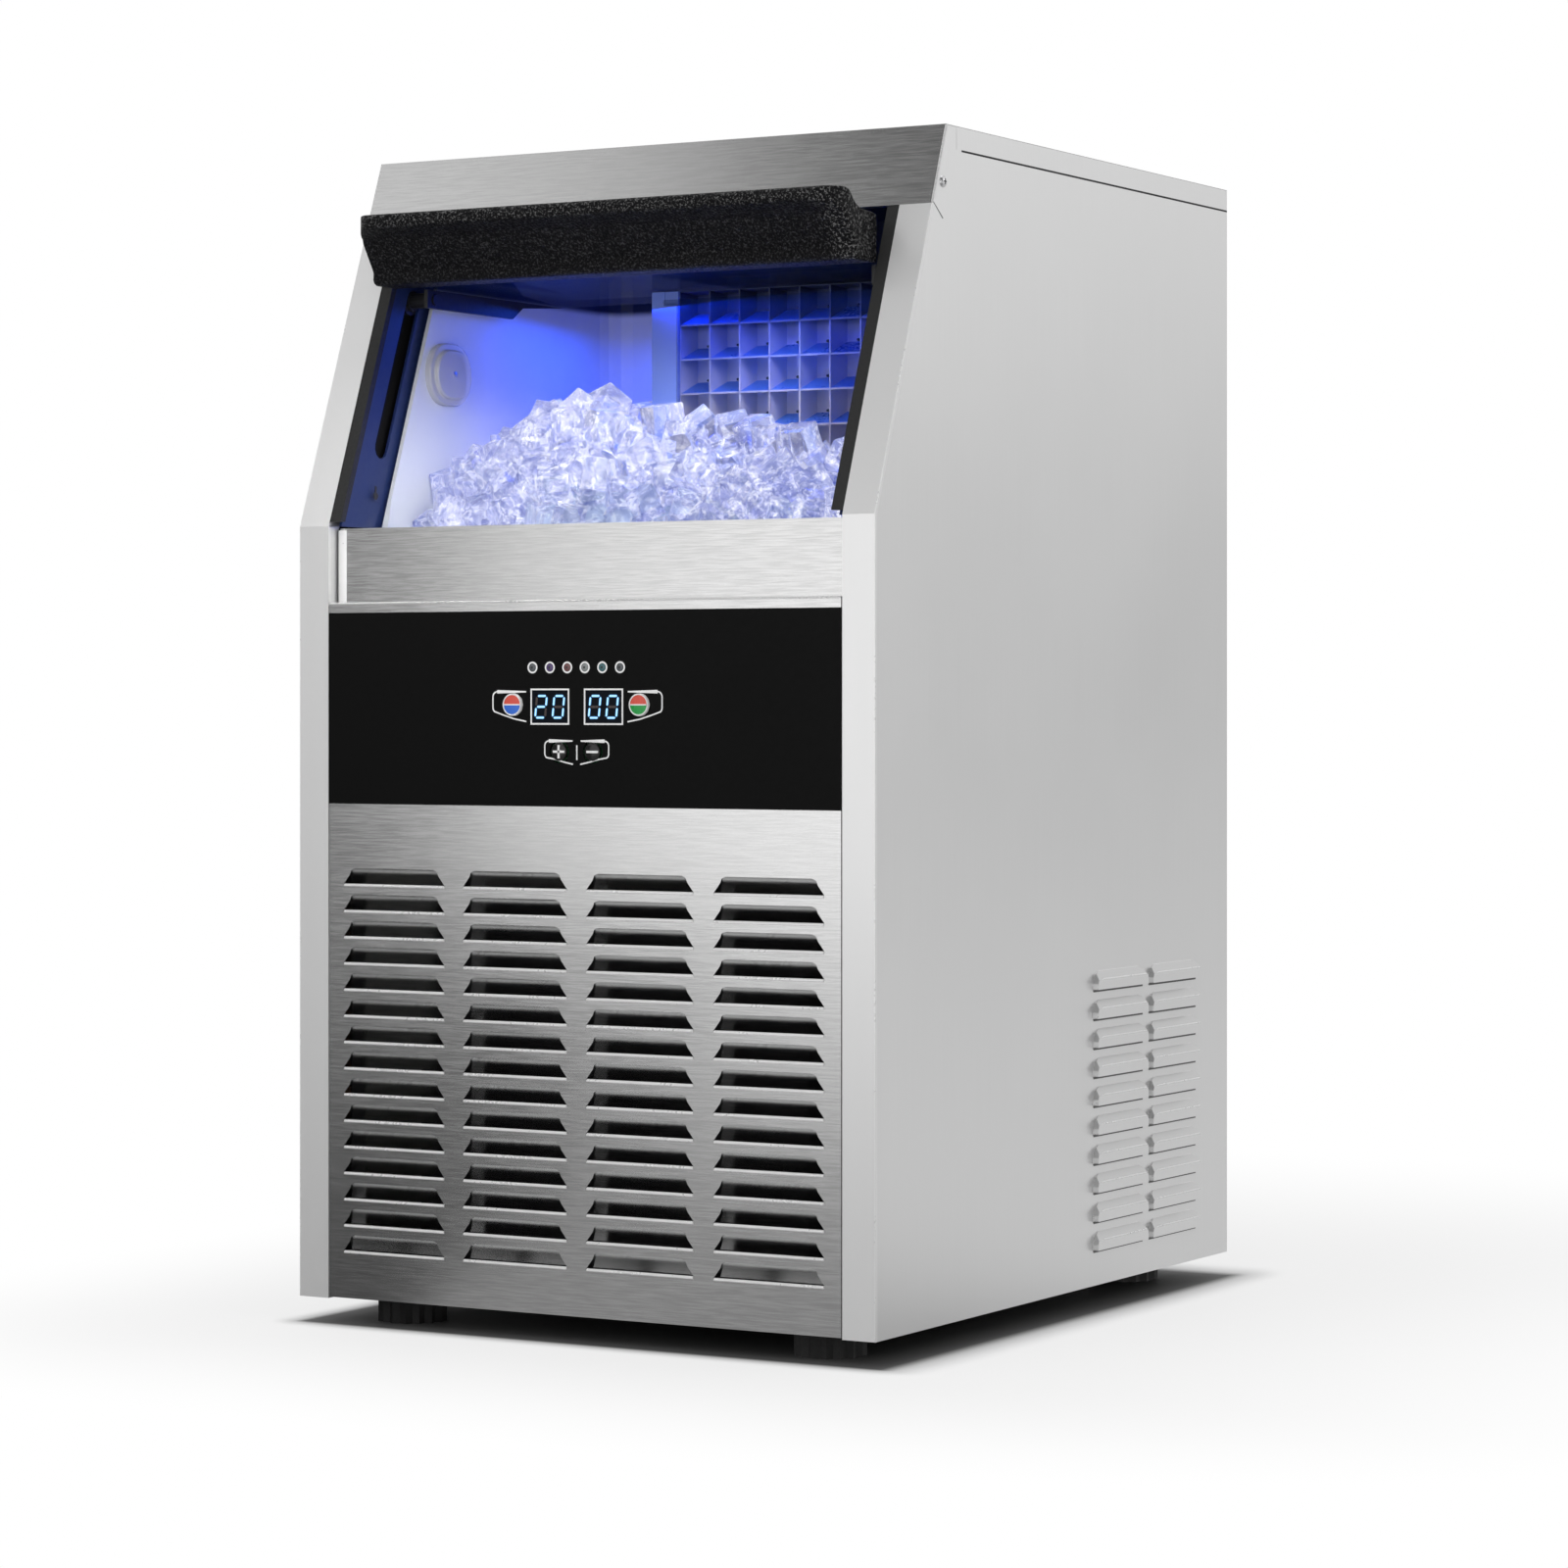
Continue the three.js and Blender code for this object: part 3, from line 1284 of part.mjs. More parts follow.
// Compressor: welded can with its seam, standing on a foot plate with rubber mounts
function compressor() {
  const can = turned([
    [0, 0],
    [compressorRadius * 0.72, 0],
    [compressorRadius * 0.95, compressorHeight * 0.12],
    [compressorRadius * 0.95, compressorHeight * 0.5],
    [compressorRadius, compressorHeight * 0.51],
    [compressorRadius, compressorHeight * 0.55],
    [compressorRadius * 0.95, compressorHeight * 0.56],
    [compressorRadius * 0.9, compressorHeight * 0.78],
    [compressorRadius * 0.6, compressorHeight * 0.96],
    [0, compressorHeight],
  ], fineSides);
  const reach = compressorRadius * 1.15;
  const plate = box(-reach, reach, -reach * 0.7, reach * 0.7, -compressorPlate, seam);
  const terminal = box(-reach, -compressorRadius * 0.7, -compressorRadius * 0.35, compressorRadius * 0.35,
    compressorHeight * 0.25, compressorHeight * 0.7);
  const mounts = [];
  [-1, 1].forEach(sideX => [-1, 1].forEach(sideY => {
    const spot = circle(sideX * reach * 0.88, sideY * reach * 0.55, compressorLift * 0.7, coarseSides);
    mounts.push(prismZ(spot, -compressorLift, 0));
  }));
  const stub = prismY(circle(0, compressorHeight * stubHeightShare, pipeRadius * 1.4, coarseSides),
    -compressorStub, -compressorRadius / 2);
  return join(can, plate, terminal, stub, ...mounts);
}

// Liquid line: from the condenser to the filter drier, and on up to the mould's coil
function liquidLine() {
  const can = turned([
    [0, 0],
    [drierRadius, drierLength * 0.12],
    [drierRadius, drierLength * 0.88],
    [0, drierLength],
  ], coarseSides).rotateY(Math.PI / 2).translate(drierX, drierY, drierZ);
  const middle = condenserFront + condenserDepth / 2;
  const endX = condenserBendReach - condenserWidth / 2 - sheet - seam;
  const feedZ = condenserZ + condenserHeight / condenserBends;
  const feed = tube([
    [endX, middle, feedZ],
    [endX - pipeBend / 2, middle, feedZ],
    [-pipeSide, middle + pipeBend, feedZ],
    [-pipeSide, compressorY, feedZ],
    [-pipeSide, drierY - pipeBend, drierZ - pipeBend],
    [-pipeSide + pipeBend / 2, drierY, drierZ],
    [drierX + drierLength * 0.1, drierY, drierZ],
  ], pipeRadius, pipeSteps);
  const coilY = gridFront + cellDepth + mouldPlate + coilRadius + seam;
  const riser = tube([
    [drierX + drierLength * 0.9, drierY, drierZ],
    [drierX + drierLength + pipeBend, drierY, drierZ],
    [coilPipeX, drierY - pipeBend / 2, drierZ + 2 * pipeBend],
    [coilPipeX, pipeRear, (coilLowZ + drierZ) / 2],
    [coilPipeX, pipeRear, coilLowZ - pipeBend],
    [coilPipeX, pipeRear - pipeBend, coilLowZ],
    [coilPipeX, binBack, coilLowZ],
    [coilPipeX, coilY + pipeBend, coilLowZ],
    [coilPipeX + pipeBend / 2, coilY, coilLowZ],
    [gridLeft + coilBend - seam, coilY, coilLowZ],
  ], pipeRadius, pipeSteps * 2);
  return join(can, feed, riser);
}

// Suction line: from the mould's coil back through the liner and down to the compressor
function suctionLine() {
  const coilY = gridFront + cellDepth + mouldPlate + coilRadius + seam;
  const coilEnd = gridLeft + cellColumns * cellPitch - coilBend + seam;
  const canTop = bottomZ + sheet + compressorLift + compressorHeight + seam;
  return tube([
    [coilEnd, coilY, coilHighZ],
    [pipeSide - pipeBend, coilY, coilHighZ],
    [pipeSide, coilY + pipeBend, coilHighZ],
    [pipeSide, binBack, coilHighZ],
    [pipeSide, pipeRear - pipeBend, coilHighZ],
    [pipeSide, pipeRear, coilHighZ - pipeBend],
    [pipeSide, pipeRear, (coilHighZ + canTop) / 2],
    [pipeSide, pipeRear, canTop + 3 * pipeBend],
    [pipeSide - pipeBend, compressorY + pipeBend, canTop + 2 * pipeBend],
    [compressorX + pipeBend, compressorY, canTop + 2 * pipeBend],
    [compressorX, compressorY, canTop + pipeBend],
    [compressorX, compressorY, canTop],
  ], pipeRadius, pipeSteps * 2);
}

// Discharge line: from the compressor's stub forward to the condenser
function dischargeLine() {
  const stubZ = bottomZ + sheet + compressorLift + compressorHeight * stubHeightShare;
  const startY = compressorY - compressorStub - seam;
  const middle = condenserFront + condenserDepth / 2;
  const endX = condenserWidth / 2 - condenserBendReach + sheet + seam;
  const endZ = condenserZ + condenserHeight * (condenserBends - 1) / condenserBends;
  return tube([
    [compressorX, startY, stubZ],
    [compressorX, startY - pipeBend, stubZ],
    [compressorX + 2 * pipeBend, startY - 2 * pipeBend, stubZ],
    [pipeSide - pipeBend, startY - 3 * pipeBend, stubZ],
    [pipeSide, startY - 5 * pipeBend, stubZ],
    [pipeSide, middle + 3 * pipeBend, endZ],
    [pipeSide, middle + pipeBend, endZ],
    [endX + pipeBend / 2, middle, endZ],
    [endX, middle, endZ],
  ], pipeRadius, pipeSteps);
}

// Levelling foot: fluted knob with its stud through the tray
function foot() {
  const outline = [];
  for (let flute = 0; flute < footFlutes; flute += 1) {
    [[0, 0], [0.5, 1]].forEach(([turnShare, cutShare]) => {
      const angle = (flute + turnShare) / footFlutes * 2 * Math.PI;
      const radius = footRadius * (1 - footFluteDepthShare * cutShare);
      outline.push([radius * Math.cos(angle), radius * Math.sin(angle)]);
    });
  }
  const knob = prismZ(outline, 0, footHeight);
  const stud = prismZ(circle(0, 0, studRadius, coarseSides), footHeight - seam, footHeight + studRise);
  return join(knob, stud);
}

// Water inlet: solenoid valve body with its threaded spigot through the rear panel
function inletValve() {
  const spigot = prismY(circle(inletSide, inletHeight, inletRadius, middleSides),
    rearInner - sheet - inletReach, cabinetDepth + inletReach);
  const bore = prismY(circle(inletSide, inletHeight, inletRadius * 0.7, middleSides),
    rearInner, cabinetDepth + inletReach + cutOverrun);
  const flange = prismY(circle(inletSide, inletHeight, inletRadius * 1.35, middleSides),
    rearInner - sheet - inletReach / 4, rearInner - sheet);
  const body = box(inletSide - inletRadius, inletSide + inletRadius, rearInner - sheet - 3 * inletReach,
    rearInner - sheet - inletReach + seam, inletHeight - inletRadius, inletHeight + inletRadius);
  const coil = prismZ(circle(inletSide, rearInner - sheet - 2 * inletReach, inletRadius * 1.1, middleSides),
    inletHeight + inletRadius - seam, inletHeight + inletRadius * 3);
  return cut(join(spigot, flange, body, coil), bore);
}

function drainOutlet() {
  const pipe = prismY(circle(inletSide, drainHeight, drainRadius, middleSides),
    rearInner - sheet - 2 * drainReach, cabinetDepth + drainReach);
  const bore = prismY(circle(inletSide, drainHeight, drainRadius * 0.75, middleSides),
    rearInner - drainReach, cabinetDepth + drainReach + cutOverrun);
  const flange = prismY(circle(inletSide, drainHeight, drainRadius * 1.5, middleSides),
    rearInner - sheet - drainReach / 4, rearInner - sheet);
  return cut(join(pipe, flange), bore);
}

function powerInlet() {
  const wide = powerWidth / 2;
  const tall = powerHeight / 2;
  const rim = box(powerSide - wide, powerSide + wide, rearInner, rearInner + powerProud,
    powerRise - tall, powerRise + tall);
  const body = box(powerSide - wide + powerProud + seam, powerSide + wide - powerProud - seam,
    rearInner - powerHeight, rearInner + seam, powerRise - tall + powerProud + seam,
    powerRise + tall - powerProud - seam);
  const socket = box(powerSide - wide / 2, powerSide + wide / 2, rearInner - powerHeight * 0.7,
    rearInner + powerProud + cutOverrun, powerRise - tall / 2, powerRise + tall / 2);
  return cut(join(rim, body), socket);
}

place('side_panel_right', sidePanel(), finish.satin);
place('side_panel_left', mirrored(sidePanel()), finish.satin);
place('base_pan', basePan(), finish.galvanised);
place('rear_panel', rearPanel(), finish.galvanised);
place('top_lid', topLid(), finish.satin);
place('top_fascia', topFascia(), finish.steel);
place('lip_panel', lipPanel(), finish.steel);
place('lower_front_panel', lowerPanel(), finish.steel);

place('control_panel', controlPanel(), finish.blackGloss);
place('control_board', controlBoard(), finish.board);
['left', 'right'].forEach((name, index) => {
  const x = (index * 2 - 1) * displayOffset;
  place(`display_${name}`, box(-displayWidth / 2, displayWidth / 2, displayRecess - controlThickness,
    boardDepth, -displayHeight / 2, displayHeight / 2), finish.display, [x, 0, controlZ + displayRise]);
});
const buttonNames = ['mode_button', 'clean_button', 'plus_button', 'minus_button'];
buttonPlaces().forEach(([x, z], index) => {
  place(buttonNames[index], button(), index < 2 ? finish.red : finish.blackPlastic, [x, -controlThickness, z]);
});
lampPlaces().forEach(([x, z], index) => {
  const lamp = turned([
    [0, controlThickness + lampProud],
    [lampRadius * 0.7, controlThickness + lampProud * 0.7],
    [lampRadius, controlThickness],
    [lampRadius, -boardDepth],
    [0, -boardDepth],
  ], coarseSides).rotateX(Math.PI / 2);
  place(`lamp_${index + 1}`, lamp, finish.grey, [x, 0, z]);
});

place('bin_liner', binLiner(), finish.white);
place('bin_insulation', binInsulation(), finish.foam);
place('ceiling_panel', ceilingPanel(), finish.white);
place('jamb_right', jamb(), finish.blue);
place('jamb_left', mirrored(jamb()), finish.blue);
place('gasket_right', gasket(), finish.rubber);
place('gasket_left', mirrored(gasket()), finish.rubber);
place('light_lens', lightLens(), finish.clear, [-binHalfWidth, binBack - lensFromBack, lensCentreHeight]);

const door = new THREE.Group();
door.position.set(0, pinOpenY, pinOpenHeight);
machine.add(door);
place('door_runner_right', doorRunner(1), finish.blackPlastic, [0, 0, 0], door);
place('door_runner_left', doorRunner(-1), finish.blackPlastic, [0, 0, 0], door);
place('door_flange_right', doorFlange(), finish.blackPlastic, [0, 0, 0], door);
place('door_flange_left', mirrored(doorFlange()), finish.blackPlastic, [0, 0, 0], door);
place('door_panel', doorPanel(), finish.clear, [0, 0, 0], door);
place('door_handle', doorHandle(), finish.blackPlastic, [0, 0, 0], door);

place('evaporator_grid', evaporatorGrid(), finish.nickel);
place('evaporator_coil', evaporatorCoil(), finish.copper);
place('evaporator_frame', evaporatorFrame(), finish.white);
place('water_distributor', waterDistributor(), finish.white);
place('water_curtain', waterCurtain(), finish.clear, [0, curtainY, curtainPivotZ]);
place('water_trough', waterTrough(), finish.white);
place('water_pump', waterPump(), finish.blackPlastic,
  [binHalfWidth / 3, binBack - pumpRadius * 2, troughBottom + troughWall]);
place('level_probe', levelProbe(), finish.white,
  [binHalfWidth * 2 / 3, binBack - pumpRadius * 2, troughBottom + troughWall]);
place('ice_cubes', ice(), finish.ice);

place('condenser', condenser(), finish.aluminium);
place('fan_shroud', fanShroud(), finish.galvanised);
const fan = place('fan_blade', fanBlade(), finish.blackPlastic, [0, fanY, fanZ]);
fan.rotation.x = -Math.PI / 2;
const motor = place('fan_motor', fanMotor(), finish.blackPlastic,
  [0, condenserFront + condenserDepth + shroudDepth + motorStandoff, fanZ]);
motor.rotation.x = -Math.PI / 2;
place('compressor', compressor(), finish.blackPlastic,
  [compressorX, compressorY, bottomZ + sheet + compressorLift]);
place('liquid_line', liquidLine(), finish.copper);
place('suction_line', suctionLine(), finish.copper);
place('discharge_line', dischargeLine(), finish.copper);
place('water_inlet_valve', inletValve(), finish.white);
place('drain_outlet', drainOutlet(), finish.grey);
place('power_inlet', powerInlet(), finish.blackPlastic);
footPlaces().forEach(([x, y], index) => {
  const name = ['foot_front_left', 'foot_front_right', 'foot_rear_left', 'foot_rear_right'][index];
  place(name, foot(), finish.rubber, [x, y, 0]);
});

export default icemaker;
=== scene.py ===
import json
import math
import random

import bmesh
import bpy
from mathutils import Euler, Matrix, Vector


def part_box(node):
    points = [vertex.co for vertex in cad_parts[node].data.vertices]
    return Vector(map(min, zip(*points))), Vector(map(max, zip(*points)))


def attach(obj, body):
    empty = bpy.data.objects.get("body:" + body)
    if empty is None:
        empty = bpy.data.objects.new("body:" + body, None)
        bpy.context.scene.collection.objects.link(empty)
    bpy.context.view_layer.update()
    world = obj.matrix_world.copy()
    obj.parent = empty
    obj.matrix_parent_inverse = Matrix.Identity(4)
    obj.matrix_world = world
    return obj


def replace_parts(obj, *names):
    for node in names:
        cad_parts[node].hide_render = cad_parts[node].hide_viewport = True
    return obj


# Finishes, fine detail, light and camera for an under-counter ice maker, around its CAD pieces.
# Metres, Z up, the front towards -Y. The door is open and stowed under the lid at rest.

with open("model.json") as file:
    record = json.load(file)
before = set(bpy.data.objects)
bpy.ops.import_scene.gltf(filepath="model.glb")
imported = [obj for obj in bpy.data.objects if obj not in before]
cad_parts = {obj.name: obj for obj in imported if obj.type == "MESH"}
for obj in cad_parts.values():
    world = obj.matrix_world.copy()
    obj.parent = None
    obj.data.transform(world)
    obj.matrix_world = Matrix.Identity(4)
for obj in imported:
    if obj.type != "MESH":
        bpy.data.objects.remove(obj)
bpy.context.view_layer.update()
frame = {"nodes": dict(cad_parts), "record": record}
nodes = frame["nodes"]
scene = bpy.context.scene


def limits(node):
    """Lowest and highest corner of a CAD node, to a hundredth of a millimetre."""
    return [[round(v, 5) for v in corner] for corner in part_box(node)]


def middle(node):
    """The middle of a CAD node as seen from the front, in (x, z)."""
    low, high = limits(node)
    return round((low[0] + high[0]) / 2, 6), round((low[2] + high[2]) / 2, 6)


FRONT = limits("lower_front_panel")[0][1]   # plane of the casing's front
SIDE, BACK, TOP = limits("top_lid")[1]      # flat side sheet, back and top of the casing
MOUTH_Z = limits("jamb_right")[0][2]        # height at which the front starts to lean back
LEAN = 0.375                                # how far the front goes back for each metre up
FACE = limits("control_panel")[0][1]        # front of the black facing
INK = FACE - 0.00012                        # front of what is printed on it
KEY_TOP = limits("mode_button")[0][1]
SIDES = ((1, "right"), (-1, "left"))


def tints(color, change):
    """A darker and a paler shade of a color."""
    return tuple(c * (1 - change) for c in color), tuple(min(1, c * (1 + change)) for c in color)


# Materials

class Graph:
    """The node tree of a material or of the world, and short calls for the nodes used in it."""

    def __init__(self, owner, space):
        owner.use_nodes = True
        self.nodes, self.links = owner.node_tree.nodes, owner.node_tree.links
        self.coord = self.nodes.new("ShaderNodeTexCoord").outputs[space]

    def feed(self, socket, value):
        """Sets a socket to a number, or links an output to it."""
        if isinstance(value, (int, float)):
            socket.default_value = value
        else:
            self.links.new(value, socket)

    def axes(self, source=None):
        """The X, Y and Z of the place, or of another vector."""
        node = self.nodes.new("ShaderNodeSeparateXYZ")
        self.links.new(source or self.coord, node.inputs["Vector"])
        return node.outputs

    def math(self, kind, a, b=0.0):
        node = self.nodes.new("ShaderNodeMath")
        node.operation = kind
        self.feed(node.inputs[0], a)
        self.feed(node.inputs[1], b)
        return node.outputs["Value"]

    def plus(self, a, b):
        return self.math("ADD", a, b)

    def times(self, a, b):
        return self.math("MULTIPLY", a, b)

    def span(self, source, low, high, out_low=0.0, out_high=1.0):
        """A smooth ramp of a source."""
        node = self.nodes.new("ShaderNodeMapRange")
        node.interpolation_type = "SMOOTHSTEP"
        self.links.new(source, node.inputs["Value"])
        ends = {"From Min": low, "From Max": high, "To Min": out_low, "To Max": out_high}
        for socket, value in ends.items():
            self.feed(node.inputs[socket], value)
        return node.outputs["Result"]


class Finish(Graph):
    """A procedural material in row-frame coordinates, built on one Principled shader."""

    def __init__(self, name, **sockets):
        self.material = bpy.data.materials.new(name)
        super().__init__(self.material, "Object")
        self.shader = self.nodes["Principled BSDF"]
        self.height = None
        for socket, value in sockets.items():
            self.shader.inputs[socket.replace("_", " ")].default_value = value

    def space(self, stretch):
        mapping = self.nodes.new("ShaderNodeMapping")
        mapping.inputs["Scale"].default_value = stretch
        self.links.new(self.coord, mapping.inputs["Vector"])
        return mapping.outputs["Vector"]

    def noise(self, scale, detail=4.0, rough=0.55, stretch=(1, 1, 1), warp=0.0):
        node = self.nodes.new("ShaderNodeTexNoise")
        node.inputs["Scale"].default_value = scale
        node.inputs["Detail"].default_value = detail
        node.inputs["Roughness"].default_value = rough
        node.inputs["Distortion"].default_value = warp
        self.links.new(self.space(stretch), node.inputs["Vector"])
        return node.outputs["Fac"]

    def cells(self, scale):
        node = self.nodes.new("ShaderNodeTexVoronoi")
        node.inputs["Scale"].default_value = scale
        self.links.new(self.space((1, 1, 1)), node.inputs["Vector"])
        return node.outputs["Distance"]

    def mix(self, factor, a, b):
        node = self.nodes.new("ShaderNodeMix")
        node.data_type = "RGBA"
        self.links.new(factor, node.inputs["Factor"])
        for socket, value in ((node.inputs[6], a), (node.inputs[7], b)):
            if isinstance(value, tuple):
                socket.default_value = (*value, 1)
            else:
                self.links.new(value, socket)
        return node.outputs[2]

    def color(self, source):
        self.links.new(source, self.shader.inputs["Base Color"])

    def roughness(self, source):
        self.links.new(source, self.shader.inputs["Roughness"])

    def bump(self, source, strength, distance):
        node = self.nodes.new("ShaderNodeBump")
        node.inputs["Strength"].default_value = strength
        node.inputs["Distance"].default_value = distance
        self.links.new(source, node.inputs["Height"])
        if self.height is not None:
            self.links.new(self.height, node.inputs["Normal"])
        self.height = node.outputs["Normal"]
        self.links.new(self.height, self.shader.inputs["Normal"])


def brushed(name, tone, rough, grain=0.3, contrast=0.10):
    """Stainless sheet: fine grain across the front, faint smudges and a darker mill tone."""
    f = Finish(name, Metallic=1.0)
    lines = f.noise(1.0, 3.0, 0.6, (44, 44, 1050))
    bands = f.noise(1.0, 4.0, 0.6, (26, 26, 560))
    smudge = f.noise(7.0, 3.0, 0.5)
    both = f.plus(f.times(lines, 0.75), f.times(bands, 0.25))
    f.color(f.mix(f.span(both, 0.35, 0.65), *tints((tone, tone, tone), contrast)))
    wear = f.span(both, 0.3, 0.7, rough - 0.03, rough + 0.03)
    f.roughness(f.plus(wear, f.span(smudge, 0.45, 0.7, 0.0, 0.02)))
    f.bump(both, grain, 0.00006)
    return f.material


def side_sheet(name):
    """Satin casing sheet: front flanges painted paler and less metallic as painted light, and painted shade
    on the upward slopes of the louvres that stand out.
    """
    f = Finish(name)
    fine = f.noise(1.0, 3.0, 0.6, (1400, 1400, 8))
    smudge = f.noise(5.0, 4.0, 0.55)
    place = f.axes()
    lean = f.times(f.math("MAXIMUM", f.math("SUBTRACT", place["Z"], MOUTH_Z), 0.0), LEAN)
    # Painted light: the front flanges are the same sheet as the side, given a paler, less metallic finish so
    # that they look brighter
    flange = f.math("LESS_THAN", f.math("SUBTRACT", place["Y"], lean), FRONT + 0.003)
    grain = f.span(f.plus(f.times(fine, 0.5), f.times(smudge, 0.5)), 0.35, 0.65)
    side = f.mix(grain, (0.800, 0.800, 0.800), (0.820, 0.820, 0.820))
    # Painted shade: the upward-facing slopes of the raised louvres are darkened as if less light fell on
    # them
    facing = f.axes(f.nodes.new("ShaderNodeNewGeometry").outputs["True Normal"])
    raised = f.math("GREATER_THAN", f.math("ABSOLUTE", place["X"]), SIDE + 0.00015)
    painted_slope_shade = f.times(raised, f.span(facing["Z"], 0.15, 0.30))
    side = f.mix(painted_slope_shade, side, (0.60, 0.60, 0.60))
    f.color(f.mix(flange, side, (0.87, 0.87, 0.87)))
    f.links.new(f.span(flange, 0.0, 1.0, 0.80, 0.42), f.shader.inputs["Metallic"])
    f.roughness(f.span(grain, 0.0, 1.0, 0.30, 0.33))
    f.bump(smudge, 0.02, 0.0004)
    return f.material


def plain_metal(name, color, rough, metallic=1.0, mottle=0.06):
    """Metal with a cloudy tone and fine dust marks."""
    f = Finish(name, Metallic=metallic)
    cloud = f.noise(26.0, 5.0, 0.6)
    dust = f.noise(420.0, 2.0, 0.5)
    f.color(f.mix(f.span(cloud, 0.3, 0.7), *tints(color, mottle)))
    f.roughness(f.span(f.plus(cloud, f.times(dust, 0.4)), 0.4, 1.0, rough - 0.06, rough + 0.08))
    f.bump(dust, 0.12, 0.0002)
    return f.material


def moulded(name, color, rough, grain=300.0, dent=0.1, mottle=0.05, **sockets):
    """Plastic or rubber with a fine grain and a slightly uneven tone."""
    f = Finish(name, **sockets)
    cloud = f.noise(18.0, 4.0, 0.6)
    fine = f.noise(grain, 2.0, 0.5)
    f.color(f.mix(f.span(cloud, 0.3, 0.7), *tints(color, mottle)))
    f.roughness(f.span(f.plus(fine, cloud), 0.7, 1.3, rough - 0.05, rough + 0.06))
    f.bump(fine, dent, 0.00025)
    return f.material


def speckled(name):
    """Coarse-grained black moulding with pale flecks, as on the handle, painted paler along the top rim and
    around the right-hand corner as painted highlight.
    """
    f = Finish(name, Specular_IOR_Level=0.14)
    pits = f.cells(520.0)
    fleck = f.noise(600.0, 3.0, 0.75)
    place = f.axes()
    # Painted highlight: paler flecks along the top rim and around the right-hand corner, where the light
    # falls
    rim = f.times(f.span(place["Z"], 0.7480, 0.7510), 0.75)
    corner = f.times(f.span(place["X"], 0.168, 0.180), 0.9)
    painted_rim_corner_light = f.math("MINIMUM", f.plus(rim, corner), 1.0)
    pale = f.mix(painted_rim_corner_light, (0.050, 0.050, 0.053), (0.20, 0.20, 0.20))
    f.color(f.mix(f.span(fleck, 0.52, 0.62), (0.002, 0.002, 0.003), pale))
    f.roughness(f.span(pits, 0.1, 0.7, 0.30, 0.58))
    f.bump(pits, 0.8, 0.0008)
    f.bump(fleck, 1.0, 0.0010)
    return f.material


def glassy(name, color, rough, alpha, gloss=1.0):
    """Thin clear sheet: mostly open to what is behind it, with its own gloss and faint wipe marks."""
    f = Finish(name, Alpha=alpha, Specular_IOR_Level=gloss)
    cloud = f.noise(50.0, 4.0, 0.6)
    f.color(f.mix(f.span(cloud, 0.35, 0.65), color, tints(color, 0.06)[1]))
    f.roughness(f.span(cloud, 0.35, 0.75, rough, rough + 0.06))
    f.bump(f.noise(30.0, 2.0, 0.5), 0.05, 0.001)
    return f.material


def clear_ice(name):
    """Clear ice with white seams frozen in; a faint glow stands for light passed on inside the heap."""
    f = Finish(name, Transmission_Weight=0.9, IOR=1.31)
    seam = f.noise(120.0, 5.0, 0.62, warp=1.6)
    facet = f.noise(75.0, 2.0, 0.5, warp=0.8)
    veil = f.span(seam, 0.54, 0.59)
    depth = f.mix(f.span(facet, 0.40, 0.52), (0.60, 0.63, 0.76), (0.98, 0.98, 1.0))
    f.color(f.mix(veil, depth, (1.0, 1.0, 1.0)))
    f.roughness(f.span(seam, 0.50, 0.66, 0.0, 0.12))
    glow = f.mix(veil, (0.08, 0.10, 0.30), (0.98, 0.98, 0.98))
    f.links.new(glow, f.shader.inputs["Emission Color"])
    f.shader.inputs["Emission Strength"].default_value = 0.20
    f.bump(seam, 0.18, 0.0010)
    return f.material


def foam_core(name):
    """Pale foam, painted nearly black as painted shade where it faces the bin's mouth behind the jambs."""
    f = Finish(name, Roughness=0.9)
    cloud, grain = f.noise(18.0, 4.0, 0.6), f.noise(240.0, 2.0, 0.5)
    place = f.axes()
    # Painted shade: nearly black in front of y = -0.12 m and above 0.52 m, behind the jambs
    skin = f.times(f.math("LESS_THAN", place["Y"], -0.120), f.math("GREATER_THAN", place["Z"], 0.52))
    pale = f.mix(f.span(cloud, 0.3, 0.7), (0.62, 0.55, 0.35), (0.78, 0.70, 0.48))
    f.color(f.mix(skin, pale, (0.004, 0.004, 0.006)))
    f.bump(grain, 0.6, 0.0004)
    return f.material


def glowing(name, color, glow, strength):
    """A lit face behind the display window."""
    f = Finish(name, Roughness=0.25)
    f.shader.inputs["Emission Color"].default_value = (*glow, 1)
    f.shader.inputs["Emission Strength"].default_value = strength
    cloud = f.noise(200.0, 3.0, 0.5)
    f.color(f.mix(f.span(cloud, 0.3, 0.7), color, tuple(c * 0.85 for c in color)))
    return f.material


def liner_with_painted_shade(name):
    """White bin liner, painted dark navy as painted shade in the space above the evaporator where the open
    door is stowed.
    """
    f = Finish(name, Specular_IOR_Level=0.4)
    cloud, fine = f.noise(18.0, 4.0, 0.6), f.noise(300.0, 2.0, 0.5)
    white = f.mix(f.span(cloud, 0.3, 0.7), (0.80, 0.83, 0.89), (0.83, 0.86, 0.92))
    # Painted shade: dark navy above about 0.714 m, under the ceiling
    f.color(f.mix(f.span(f.axes()["Z"], 0.711, 0.717), white, (0.012, 0.022, 0.07)))
    f.roughness(f.span(f.plus(fine, cloud), 0.7, 1.3, 0.28, 0.38))
    f.bump(fine, 0.05, 0.00025)
    return f.material


